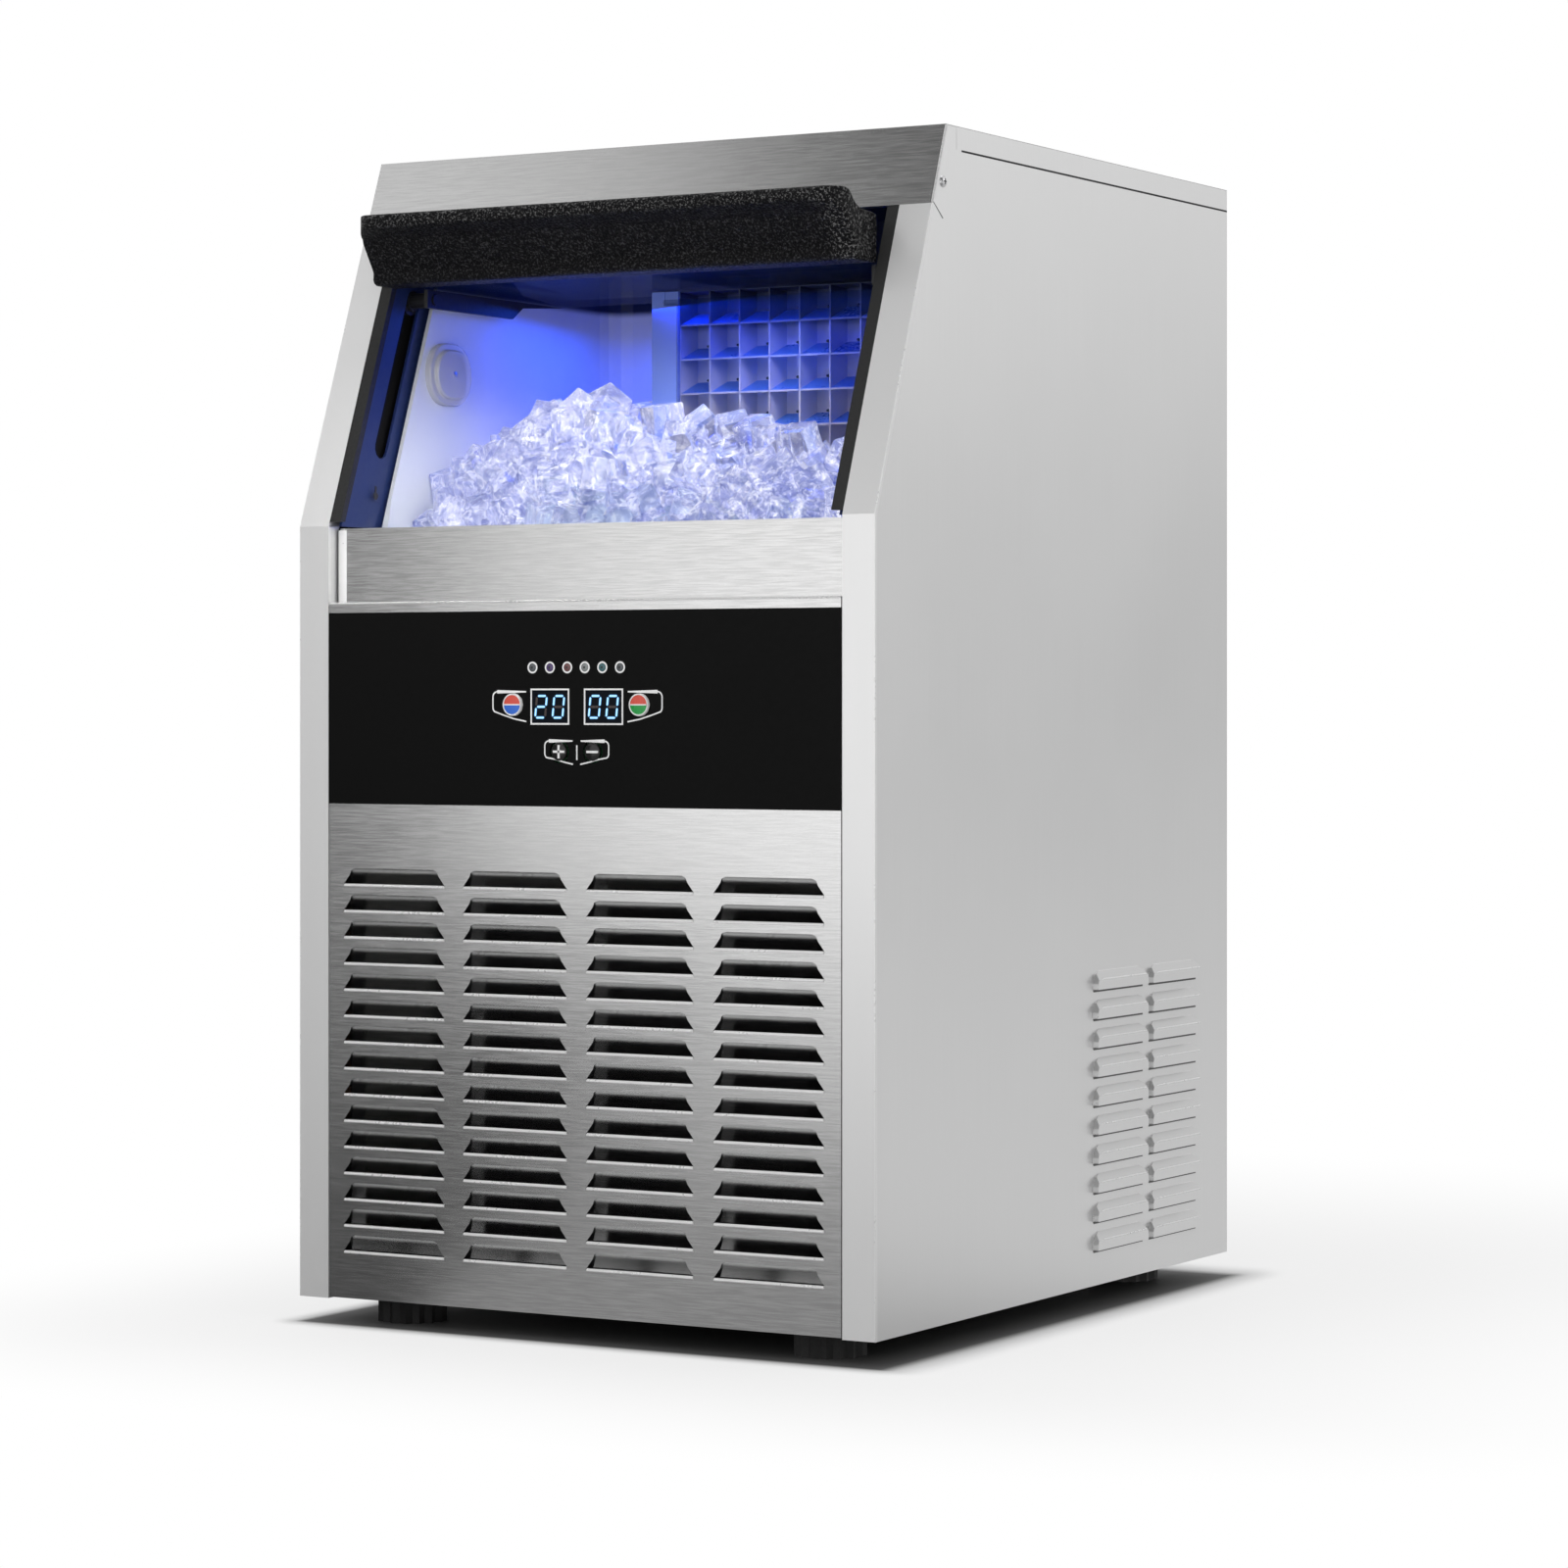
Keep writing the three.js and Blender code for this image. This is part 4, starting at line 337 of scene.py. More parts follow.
def mould_with_painted_light(name):
    """Plated cube mould: painted blue light towards the upper rows and painted shade, nearly black, on the
    top row; bare and warm further down.
    """
    f = Finish(name, Metallic=0.25)
    height = f.axes()["Z"]
    cloud = f.noise(40.0, 4.0, 0.6)
    # Painted blue light: the mould turns bluer towards the upper rows
    low = f.mix(f.span(height, 0.612, 0.672), (0.78, 0.72, 0.74), (0.40, 0.47, 0.92))
    # Painted shade: nearly black on the top row
    f.color(f.mix(f.span(height, 0.684, 0.691), low, (0.035, 0.05, 0.11)))
    f.roughness(f.span(cloud, 0.3, 0.7, 0.34, 0.44))
    f.bump(cloud, 0.04, 0.0005)
    return f.material


M = {
    "brushed": brushed("brushed_sheet", 0.66, 0.21),
    "satin": side_sheet("satin_sheet"),
    "galvanised": plain_metal("galvanised_sheet", (0.56, 0.57, 0.58), 0.42, mottle=0.05),
    "facing": moulded("black_facing", (0.0045, 0.0045, 0.0045), 0.5, dent=0.03, Specular_IOR_Level=0.08),
    "black": moulded("black_moulding", (0.016, 0.016, 0.017), 0.45),
    "speckled": speckled("speckled_moulding"),
    "rubber": moulded("black_rubber", (0.018, 0.018, 0.018), 0.6, grain=500.0, dent=0.2),
    "white": moulded("white_liner", (0.80, 0.84, 0.90), 0.32, dent=0.05, mottle=0.02),
    "foam": foam_core("foam_core"),
    "clear": glassy("clear_sheet", (0.010, 0.035, 0.13), 0.04, 0.16, 0.10),
    # Painted shade: the ceiling panel is dark navy for the shade and blue lamp light up there
    "ceiling": moulded("ceiling_painted_shade", (0.02, 0.04, 0.10), 0.5, mottle=0.1, Specular_IOR_Level=0.2),
    "ice": clear_ice("clear_ice"),
    "nickel": plain_metal("nickel_plate", (0.70, 0.69, 0.70), 0.34, metallic=0.7, mottle=0.05),
    # Painted blue light: the cell floors are saturated blue
    "cell_floor": plain_metal("cell_floor_painted_blue_light", (0.06, 0.20, 0.80), 0.3, metallic=0.3, mottle=0.05),
    "mould": mould_with_painted_light("mould_with_painted_light"),
    "liner": liner_with_painted_shade("liner_with_painted_shade"),
    # Painted blue light: the white evaporator housing is coloured blue
    "housing": moulded("housing_painted_blue_light", (0.16, 0.25, 0.70), 0.35, dent=0.05, mottle=0.02),
    # Painted shade: the base pan is near black where it sits in shade behind the louvres
    "pan": moulded("base_pan_painted_shade", (0.006, 0.006, 0.007), 0.75, Specular_IOR_Level=0.05),
    # Painted highlight: pale, less metallic metal for beads that paint bright lines along edges
    "edge": plain_metal("edge_painted_highlight", (0.93, 0.93, 0.93), 0.3, metallic=0.35, mottle=0.02),
    # Painted shade: a dark copy of the same edge metal
    "edge_dark": plain_metal("edge_painted_shade", (0.16, 0.16, 0.16), 0.4, metallic=0.6, mottle=0.04),
    # Painted shadow: dark metal for the strips under the side louvres
    "under": plain_metal("louvre_painted_shadow", (0.16, 0.16, 0.16), 0.6, metallic=0.2, mottle=0.05),
    "seam": moulded("open_seam", (0.05, 0.05, 0.052), 0.7, dent=0.05, Specular_IOR_Level=0.1),
    "copper": plain_metal("copper_tube", (0.72, 0.38, 0.22), 0.32, mottle=0.14),
    # Painted shade: the aluminium fin pack is near black where it is seen in shade through the louvres
    "fins": plain_metal("fin_pack_painted_shade", (0.035, 0.035, 0.038), 0.75, metallic=0.2),
    "motor": moulded("stoved_black", (0.013, 0.013, 0.014), 0.36, dent=0.15),
    "display": moulded("display_window", (0.002, 0.004, 0.009), 0.3, dent=0.02, Specular_IOR_Level=0.08),
    "board": moulded("circuit_board", (0.05, 0.22, 0.09), 0.5, mottle=0.2),
    "jamb": moulded("blue_jamb", (0.018, 0.035, 0.13), 0.4),
    "grey": moulded("grey_plastic", (0.42, 0.44, 0.46), 0.45),
    "lens": glassy("lamp_lens", (0.96, 0.97, 1.0), 0.12, 0.55),
    "print": moulded("white_print", (0.96, 0.96, 0.96), 0.5, dent=0.02, mottle=0.03),
    "digit": glowing("lit_segment", (0.10, 0.30, 0.55), (0.16, 0.46, 0.88), 0.75),
    "digit_core": glowing("lit_segment_core", (0.4, 0.7, 0.9), (0.50, 0.80, 1.0), 0.85),
    # Painted highlight: pale, less metallic steel for the louvre lips and folds
    "lip_steel": plain_metal("lip_painted_highlight", (0.95, 0.95, 0.95), 0.3, metallic=0.35, mottle=0.03),
    "digit_off": moulded("unlit_segment", (0.045, 0.03, 0.028), 0.3, dent=0.02),
    "red": moulded("red_face", (0.74, 0.09, 0.06), 0.3, dent=0.03),
    "blue": moulded("blue_face", (0.03, 0.16, 0.70), 0.3, dent=0.03),
    "green": moulded("green_face", (0.01, 0.34, 0.06), 0.3, dent=0.03),
    "glossy": moulded("gloss_black", (0.012, 0.012, 0.012), 0.16, dent=0.02),
    "screw": plain_metal("bright_screw", (0.62, 0.62, 0.63), 0.3),
    "ice_bed": moulded("packed_ice", (0.50, 0.62, 0.80), 0.35, grain=90.0, dent=0.9, mottle=0.2),
}
LAMP_TONES = {
    "lamp_grey": (0.10, 0.11, 0.12), "lamp_violet": (0.09, 0.06, 0.16), "lamp_reddish": (0.16, 0.07, 0.07),
    "lamp_pale": (0.26, 0.28, 0.28), "lamp_teal": (0.06, 0.15, 0.17),
}
for tone_name, tone in LAMP_TONES.items():
    M[tone_name] = moulded(tone_name, tone, 0.2, dent=0.02)

BY_SLOT = {
    "satin_steel": "satin", "black_facing": "facing", "black_plastic": "black", "black_rubber": "rubber",
    "white_plastic": "white", "clear_plastic": "clear", "motor_black": "motor", "display_glass": "display",
    "board_green": "board", "red_blue": "red", "red_green": "red", "lamp_grey": "grey", "jamb_blue": "jamb",
    "grey_plastic": "grey",
}
# Nodes with a finish of their own: finish, width of the softened edges, segments
OWN_FINISH = {
    "top_lid": ("satin", 0.0006), "top_fascia": ("brushed", 0.0008), "lip_panel": ("brushed", 0.0006),
    "door_handle": ("speckled",), "gasket_right": ("rubber", 0.0012), "gasket_left": ("rubber", 0.0012),
    "base_pan": ("pan",), "bin_liner": ("liner", 0.0015, 3), "water_trough": ("white", 0.0015, 3),
    "evaporator_frame": ("housing", 0.0015, 3), "ceiling_panel": ("ceiling", 0.0008),
}
slot_of = {p["node"]: p["material_slot"] for p in frame["record"]["subparts"]}


def dress(node, key, rounding=0.0, segments=2):
    """Gives a carried-over CAD node its finish and softened edges."""
    o = nodes[node]
    o.data.materials.clear()
    o.data.materials.append(M[key])
    if rounding:
        b = o.modifiers.new("soft_edges", "BEVEL")
        b.width = rounding
        b.segments = segments
        b.limit_method = "ANGLE"
        b.angle_limit = math.radians(35)
        b.harden_normals = True
        b.use_clamp_overlap = True


for node, slot_name in slot_of.items():
    dress(node, *OWN_FINISH.get(node, (BY_SLOT.get(slot_name, slot_name),)))


# Making pieces

def new_object(name, data):
    """An object in the scene that holds a mesh, a light or a camera."""
    o = bpy.data.objects.new(name, data)
    scene.collection.objects.link(o)
    return o


def new_mesh(name, verts, faces):
    """A mesh from its points and faces."""
    mesh = bpy.data.meshes.new(name)
    mesh.from_pydata([tuple(v) for v in verts], [], faces)
    mesh.update()
    return mesh


def split_edges(o, angle):
    """Keeps edges crisp where the faces meet at more than an angle."""
    split = o.modifiers.new("crisp_edges", "EDGE_SPLIT")
    split.split_angle = math.radians(angle)


def add_piece(name, solid, key, body="cabinet", smooth=None):
    """A new piece in the row frame that rides on a body; smooth is the angle kept sharp."""
    o = new_object(name, new_mesh(name, *solid))
    o.data.materials.append(M[key])
    if smooth is not None:
        for polygon in o.data.polygons:
            polygon.use_smooth = True
        split_edges(o, smooth)
    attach(o, body)
    return o


def gather(parts):
    """Joins (verts, faces) pairs into one pair."""
    verts, faces = [], []
    for v, f in parts:
        start = len(verts)
        verts += [tuple(p) for p in v]
        faces += [tuple(i + start for i in face) for face in f]
    return verts, faces


def prism(near, far):
    """A closed solid between two matching outlines."""
    n = len(near)
    faces = [tuple(range(n)), tuple(range(2 * n - 1, n - 1, -1))]
    faces += [(i, i + n, (i + 1) % n + n, (i + 1) % n) for i in range(n)]
    return [*near, *far], faces


def slab(outline, near, far):
    """A closed plate facing the front: outline in (x, z), from y = near back to y = far."""
    return prism([(x, near, z) for x, z in outline], [(x, far, z) for x, z in outline])


def side_slab(outline, outer, inner):
    """A closed plate facing a side: outline in (y, z), from x = outer in to x = inner."""
    return prism([(outer, y, z) for y, z in outline], [(inner, y, z) for y, z in outline])


def upright(outline, bottom, top):
    """A closed solid that stands up: outline in (x, y), from z = bottom to z = top."""
    return prism([(x, y, bottom) for x, y in outline], [(x, y, top) for x, y in outline])


def rectangle(a0, b0, a1, b1):
    """The corners from one corner and the opposite one."""
    return [(a0, b0), (a1, b0), (a1, b1), (a0, b1)]


def around(a, b, half_a, half_b):
    """A rectangle around a centre."""
    return rectangle(a - half_a, b - half_b, a + half_a, b + half_b)


def stroke(points, width, near, far, closed=False):
    """A line of print along points in (x, z), with mitred corners."""
    p = [Vector(q) for q in points]
    n = len(p)
    left, right = [], []
    for i in range(n):
        before = (p[i] - p[(i - 1) % n]).normalized() if closed or i > 0 else None
        after = (p[(i + 1) % n] - p[i]).normalized() if closed or i < n - 1 else None
        before, after = before or after, after or before
        mid = (before + after).normalized()
        across = Vector((-mid.y, mid.x))
        reach = width / 2 / max(0.4, abs(across.dot(Vector((-after.y, after.x)))))
        left.append(p[i] + across * reach)
        right.append(p[i] - across * reach)
    parts = []
    for i in range(n if closed else n - 1):
        j = (i + 1) % n
        parts.append(slab([left[i], left[j], right[j], right[i]], near, far))
    return gather(parts)


def arc(cx, cz, radius, start, end, steps):
    """Points along part of a circle, from a start to an end angle in degrees."""
    angles = [math.radians(start + (end - start) * k / steps) for k in range(steps + 1)]
    return [(cx + radius * math.cos(a), cz + radius * math.sin(a)) for a in angles]


def lathe(profile, cx, cz, sides, start=0.0, sweep=360.0):
    """Turned about an axis along Y: profile of (radius, y)."""
    full = sweep >= 360
    count = sides if full else sides + 1
    verts = []
    for k in range(count):
        a = math.radians(start + sweep * k / sides)
        verts += [(cx + r * math.cos(a), y, cz + r * math.sin(a)) for r, y in profile]
    n = len(profile)
    faces = []
    for k in range(sides):
        a, b = k * n, (k + 1) % count * n
        faces += [(a + i, a + i + 1, b + i + 1, b + i) for i in range(n - 1)]
    return verts, faces


# Control panel

DISPLAY_Z = 422.3
LAMPS = [f"lamp_{k}" for k in range(1, 7)]


def mm(points):
    """Points in millimetres, in metres."""
    return [(x / 1000, z / 1000) for x, z in points]


def mirrored(points):
    """The same outline on the other side of the middle."""
    return [(-x, z) for x, z in points]


def control_print():
    """Outlines around the keys, the displays and the lamps."""
    upper = [(-39.8, 432.2), (-62.8, 432.2), *arc(-62.8, 428.8, 3.4, 90, 180, 6),
             (-66.2, 421.8), *arc(-62.8, 421.6, 3.4, 185, 230, 4), (-57.6, 416.6), (-49.4, 414.2),
             (-39.6, 412.4)]
    lower = [(-3.2, 399.6), (-21.8, 399.6), *arc(-21.8, 396.4, 3.2, 90, 180, 6),
             (-25.0, 391.2), *arc(-21.8, 391.2, 3.2, 185, 235, 4), (-16.6, 387.4), (-9.8, 385.6),
             (-2.8, 384.2)]
    centre, thin, thick = 0.5, 0.00095, 0.0011
    parts = []
    for outline in (upper, mirrored(upper), lower, mirrored(lower)):
        parts.append(stroke(mm([(x + centre, z) for x, z in outline]), thin, INK, FACE))
    parts.append(stroke(mm([(0.7, 396.8), (0.7, 387.0)]), thin, INK, FACE))
    for side in (-1, 1):
        box = around(centre + side * 21.0, DISPLAY_Z, 14.7, 11.45)
        parts.append(stroke(mm(box), thick, INK - 0.00006, FACE, closed=True))
    for name in LAMPS:
        parts.append(stroke(arc(*middle(name), 0.00335, 0, 352, 44), thick, INK, FACE, closed=True))
    add_piece("control_print", gather(parts), "print")


SEGMENTS = {
    "a": ((-1, 1), (1, 1)), "b": ((1, 1), (1, 0)), "c": ((1, 0), (1, -1)), "d": ((-1, -1), (1, -1)),
    "e": ((-1, 0), (-1, -1)), "f": ((-1, 1), (-1, 0)), "g": ((-1, 0), (1, 0)),
}


def digits():
    """Two two-digit seven-segment readings, with their unlit segments behind the window."""
    half_wide, half_high, half_thick, slant, middle_z = 3.9, 7.2, 0.82, 0.1, 422.2     # millimetres
    lit, core, dark = [], [], []
    window = FRONT - 0.0005

    def shown_at(x, points):
        return [((x + q.x + q.y * slant) / 1000, (middle_z + q.y) / 1000) for q in points]

    for x, shown in ((-27.7, "abged"), (-14.0, "abcdef"), (14.4, "abcdef"), (28.0, "abcdef")):
        for name, ends in SEGMENTS.items():
            start, end = (Vector((sx * half_wide, sz * half_high)) for sx, sz in ends)
            step = (end - start).normalized()
            a, b = start + step * 0.55, end - step * 0.55
            side = Vector((-step.y, step.x)) * half_thick
            near, far = a + step * 0.8, b - step * 0.8
            outline = shown_at(x, [a, near + side, far + side, b, far - side, near - side])
            if name not in shown:
                dark.append(slab(outline, window - 0.00004, window))
                continue
            lit.append(slab(outline, window - 0.0001, window))
            thin = side * 0.42
            a, b = a + step * 0.5, b - step * 0.5
            bright = shown_at(x, [a + thin, b + thin, b - thin, a - thin])
            core.append(slab(bright, window - 0.00016, window - 0.0001))
    add_piece("display_digits", gather(lit), "digit")
    add_piece("display_digit_cores", gather(core), "digit_core")
    add_piece("display_unlit_segments", gather(dark), "digit_off")


def dome(radius, top, rise, rim, steps):
    """Profile from the middle of a rounded button out to its skirt."""
    points = [(radius * math.sin(k / steps * math.pi / 2) * 0.999 + 1e-6,
               top + rise * (1 - math.cos(k / steps * math.pi / 2))) for k in range(steps + 1)]
    return points + [(radius, rim)]


def two_tone_button(node, body, lower_key):
    """Round key with a pale rim, two colored halves and a bar between them."""
    x, z = middle(node)
    top = KEY_TOP
    ring = [(0.0064, top + 0.0004), (0.0067, top), (0.0071, top), (0.00742, top + 0.0006),
            (0.0075, FACE + 0.0006)]
    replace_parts(add_piece(node + "_rim", lathe(ring, x, z, 56), "print", body, 50), node)
    face = [(0.00001, top + 0.0002), (0.002, top + 0.00022), (0.0045, top + 0.0003), (0.0065, top + 0.0005)]
    gap = 4.0
    for half, key, start in (("_upper", "red", 0.0), ("_lower", lower_key, 180.0)):
        add_piece(node + half, lathe(face, x, z, 28, start + gap, 180 - 2 * gap), key, body, 50)
    bar = slab(around(x, z, 0.006, 0.0004), top + 0.0001, top + 0.0009)
    add_piece(node + "_bar", bar, "print", body)


def step_button(node, body, plus):
    """Round black key that shows a plus or a minus."""
    x, z = middle(node)
    cap = lathe(dome(0.0060, KEY_TOP + 0.0001, 0.0016, FACE + 0.0006, 10), x, z, 56)
    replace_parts(add_piece(node + "_cap", cap, "glossy", body, 60), node)
    long, thick = 0.0044, 0.00075
    bars = [(long, thick), (thick, long)] if plus else [(long, thick)]
    marks = [slab(around(x + 0.0007, z, wide, high), KEY_TOP, KEY_TOP + 0.0014) for wide, high in bars]
    add_piece(node + "_mark", gather(marks), "print", body)


def lamps():
    """A domed lens and a dark dot for each indicator lamp."""
    for name, key in zip(LAMPS, (*LAMP_TONES, "lamp_grey")):
        x, z = middle(name)
        lens = lathe(dome(0.0026, FRONT - 0.0016, 0.0007, FACE + 0.0004, 7), x, z, 36)
        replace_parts(add_piece(name + "_lens", lens, key, smooth=60), name)
        dot = lathe(dome(0.0010, FRONT - 0.00165, 0.0002, FRONT - 0.0012, 4), x, z, 20)
        add_piece(name + "_dot", dot, "black", smooth=60)


control_print()
digits()
two_tone_button("mode_button", "mode_key", "blue")
two_tone_button("clean_button", "clean_key", "green")
step_button("plus_button", "plus_key", True)
step_button("minus_button", "minus_key", False)
lamps()


# Ice

BIN_HALF, BIN_NEAR, BIN_FAR, BIN_FLOOR = 0.1885, -0.2378, 0.066, 0.382


def ice_surface(x, y):
    """Height of the heap at a place, which falls off around its top and further at the front left."""
    top_x, top_y, top_z = -0.052, -0.1505, 0.640
    across = (x - top_x) / 0.378
    along = (y - top_y) / (0.088 if y < top_y else 0.218)
    aside = min(1.0, max(0.0, (-0.070 - x) / 0.105))
    ahead = min(1.0, max(0.0, (-0.050 - y) / 0.120))
    return top_z - 0.096 * along ** 2 - 0.085 * across ** 2 - 0.046 * aside * ahead


def ice_allows(p):
    """Whether ice may be at a place: in the liner, clear of door, evaporator and lamp cover."""
    x, y, z = p
    if abs(x) > BIN_HALF or not BIN_NEAR < y < BIN_FAR or z < BIN_FLOOR:
        return False
    if z > MOUTH_Z and y < FRONT + (z - MOUTH_Z) * LEAN + 0.0425:      # the door's sweep behind the mouth
        return False
    housing_left = -0.0508
    if x > housing_left and y > -0.1100 and z > 0.528:                  # the trough and the housing
        return False
    if x > housing_left and z > 0.585 and y > -0.166:                   # the water curtain's swing
        return False
    return not (x < -0.176 and -0.184 < y < -0.123 and z > 0.630)      # the lamp cover


def cube_template(rng):
    """One clear cube with softened edges and slightly jittered points."""
    bm = bmesh.new()
    bmesh.ops.create_cube(bm, size=0.0215)
    bmesh.ops.bevel(bm, geom=bm.edges[:], offset=0.0008, segments=2, profile=0.6, affect="EDGES")
    for v in bm.verts:
        v.co += Vector([rng.uniform(-0.00035, 0.00035) for _ in range(3)])
    co = [v.co.copy() for v in bm.verts]
    bm.verts.index_update()
    faces = [tuple(v.index for v in f.verts) for f in bm.faces]
    bm.free()
    return co, faces


def ice_heap():
    """Layers of loose cubes that follow the heap's surface, each turned at random."""
    rng = random.Random(41)
    shapes = [cube_template(rng) for _ in range(10)]
    corner = [Vector((a, b, c)) * 0.0107 for a in (-1, 1) for b in (-1, 1) for c in (-1, 1)]
    pitch, layer_step = 0.0186, 0.0165
    parts, placed = [], []
    for layer in range(4):
        for i in range(21):
            for j in range(17):
                for attempt in range(7):
                    x = -BIN_HALF + 0.0095 + pitch * i + rng.uniform(-0.006, 0.006)
                    y = BIN_NEAR + 0.009 + pitch * j + rng.uniform(-0.006, 0.006)
                    z = ice_surface(x, y) - 0.010 - layer * layer_step + rng.uniform(-0.007, 0.006)
                    turn = Euler([rng.uniform(0, math.pi) for _ in range(3)]).to_matrix()
                    size = rng.uniform(0.90, 1.04)
                    centre = Vector((x, y, z))
                    if not all(ice_allows(turn @ (c * size) + centre) for c in corner):
                        continue
                    spacing = 0.0162 if x > 0.06 else 0.0178
                    if any((centre - q).length < spacing for q in placed):
                        continue
                    placed.append(centre)
                    co, faces = shapes[rng.randrange(10)]
                    parts.append(([turn @ (c * size) + centre for c in co], faces))
                    break
    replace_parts(add_piece("loose_ice_cubes", gather(parts), "ice", smooth=40), "ice_cubes")


def ice_bed():
    """The packed ice under the loose cubes, as one closed uneven block."""
    rng = random.Random(7)
    nx, ny = 38, 30
    verts, faces, index = [], [], {}
    for i in range(nx + 1):
        for j in range(ny + 1):
            x = -0.1875 + 0.375 * i / nx
            y = -0.2368 + 0.3018 * j / ny
            z = min(ice_surface(x, y) - 0.052, 0.60) + rng.uniform(-0.004, 0.004)
            if x > -0.056:      # lower under and before the evaporator's housing
                z = min(z, 0.524) if y > -0.115 else min(z, 0.574)
            z = max(z, 0.40)
            while z > 0.46 and not ice_allows((x, y, z + 0.001)):
                z -= 0.004
            index[i, j] = len(verts)
            verts.append((x, y, z))
    base = len(verts)
    verts += [(x, y, 0.3812) for x, y, _ in verts]
    for i in range(nx):
        for j in range(ny):
            a, b, c, d = index[i, j], index[i + 1, j], index[i + 1, j + 1], index[i, j + 1]
            faces += [(a, b, c, d), (d + base, c + base, b + base, a + base)]
    edge = [(i, 0) for i in range(nx)] + [(nx, j) for j in range(ny)]
    edge += [(i, ny) for i in range(nx, 0, -1)] + [(0, j) for j in range(ny, 0, -1)]
    for here, there in zip(edge, edge[1:] + edge[:1]):
        faces.append((index[here], index[here] + base, index[there] + base, index[there]))
    add_piece("packed_ice", (verts, faces), "ice_bed")


ice_heap()
ice_bed()


# Bin and evaporator

def wedge(near, far):
    """A block along Y between two upright rectangles, each (x0, x1, z0, z1, y)."""
    return prism(*([(x, y, z) for x, z in rectangle(x0, z0, x1, z1)] for x0, x1, z0, z1, y in (near, far)))


def evaporator_cells():
    """The cube mould: thin dividers, floors that fall towards the front, a seam and a peg in each cell."""
    (x0, y0, z0), (x1, y1, z1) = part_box("evaporator_grid")
    pitch, columns, rows, fall = 0.024, 8, 5, 0.0078
    back = y0 + 0.022
    parts, floors, pegs = [wedge((x0, x1, z0, z1, back), (x0, x1, z0, z1, y1))], [], []
    for c in range(columns + 1):
        x = x0 + pitch * c
        thin = (max(x0, x - 0.0005), min(x1, x + 0.0005))
        thick = (max(x0, x - 0.0014), min(x1, x + 0.0014))
        parts.append(wedge((*thin, z0, z1, y0), (*thick, z0, z1, back)))
    for r in range(rows + 1):
        z = z0 + pitch * r
        a, b = max(z0, z - 0.0005), min(z1, z + 0.0005)
        rise = fall if r < rows else 0.0
        c0, c1 = max(z0, z - 0.0012 + rise), min(z1, z + 0.0012 + rise)
        parts.append(wedge((x0, x1, a, b, y0), (x0, x1, c0, c1, back)))
        if r == rows:
            break
        floors.append(wedge((x0 + 0.001, x1 - 0.001, b + 0.0002, b + 0.0006, y0 + 0.001),
                            (x0 + 0.001, x1 - 0.001, c1 + 0.0002, c1 + 0.0006, back)))
        for c in range(columns):
            x = x0 + pitch * (c + 0.5)
            seam = (x - 0.0004, x + 0.0004, c1, z0 + pitch * (r + 1) - 0.0012)
            parts.append(wedge((*seam, back - 0.0007), (*seam, back)))
            peg = [(0.00001, back - 0.0045), (0.0009, back - 0.0042), (0.0011, back - 0.003), (0.0011, back)]
            pegs.append(lathe(peg, x, c1 + 0.0016, 12))
    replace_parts(add_piece("evaporator_cell_mould", gather(parts), "mould"), "evaporator_grid")
    add_piece("evaporator_cell_floors", gather(floors), "cell_floor")
    add_piece("evaporator_cell_pegs", gather(pegs), "motor", smooth=50)


def turned_x(profile, side, y, z, sides=28):
    """Turned about an axis along X: profile of (radius, x), mirrored for the left side."""
    verts, faces = lathe(profile, 0, 0, sides)
    return [(side * b, y + a, z + c) for a, b, c in verts], faces


def rounded_outline(cy, cz, hy, hz, radius):
    """A rectangle in (y, z) around a centre, with round corners."""
    points = []
    for sy, sz, start in ((1, 1, 0), (-1, 1, 90), (-1, -1, 180), (1, -1, 270)):
        points += arc(cy + sy * (hy - radius), cz + sz * (hz - radius), radius, start, start + 90, 8)
    return points


def lamp_cover():
    """Oval lamp cover on the liner's left wall: stepped rim, flat clear face and a centre screw."""
    (x0, y0, z0), (x1, y1, z1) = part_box("light_lens")
    cy, cz, hy, hz = (y0 + y1) / 2, (z0 + z1) / 2, (y1 - y0) / 2, (z1 - z0) / 2
    rings = [(0.0, x0), (0.0, x0 + 0.0035), (0.0008, x0 + 0.0046), (0.0042, x0 + 0.0048),
             (0.0048, x0 + 0.0054), (0.0048, x1 - 0.0012), (0.0058, x1 - 0.0002), (0.0090, x1)]
    verts, faces = [], []
    for inset, x in rings:
        radius = min(hy, hz) * 0.96 - inset
        verts += [(x, y, z) for y, z in rounded_outline(cy, cz, hy - inset, hz - inset, radius)]
    n = len(verts) // len(rings)
    last = len(verts) - n
    for k in range(0, last, n):
        faces += [(k + i, k + (i + 1) % n, k + n + (i + 1) % n, k + n + i) for i in range(n)]
    faces += [tuple(range(last, last + n)), tuple(reversed(range(n)))]
    cover = add_piece("lamp_cover", (verts, faces), "lens", smooth=35)
    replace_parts(cover, "light_lens")
    head = [(0.00001, x1 + 0.0006), (0.0016, x1 + 0.0005), (0.0023, x1), (0.0023, x1 - 0.002)]
    add_piece("lamp_cover_screw", turned_x(head, 1, cy, cz, 20), "screw", smooth=50)


evaporator_cells()


# Small fittings

def smooth_group():
    """Node group that shades a mesh smooth without changing it."""
    group = bpy.data.node_groups.new("shade_smooth", "GeometryNodeTree")
    for direction in ("INPUT", "OUTPUT"):
        group.interface.new_socket("Geometry", in_out=direction, socket_type="NodeSocketGeometry")
    source = group.nodes.new("NodeGroupInput")
    smooth = group.nodes.new("GeometryNodeSetShadeSmooth")
    out = group.nodes.new("NodeGroupOutput")
    group.links.new(source.outputs[0], smooth.inputs[0])
    group.links.new(smooth.outputs[0], out.inputs[0])
    return group


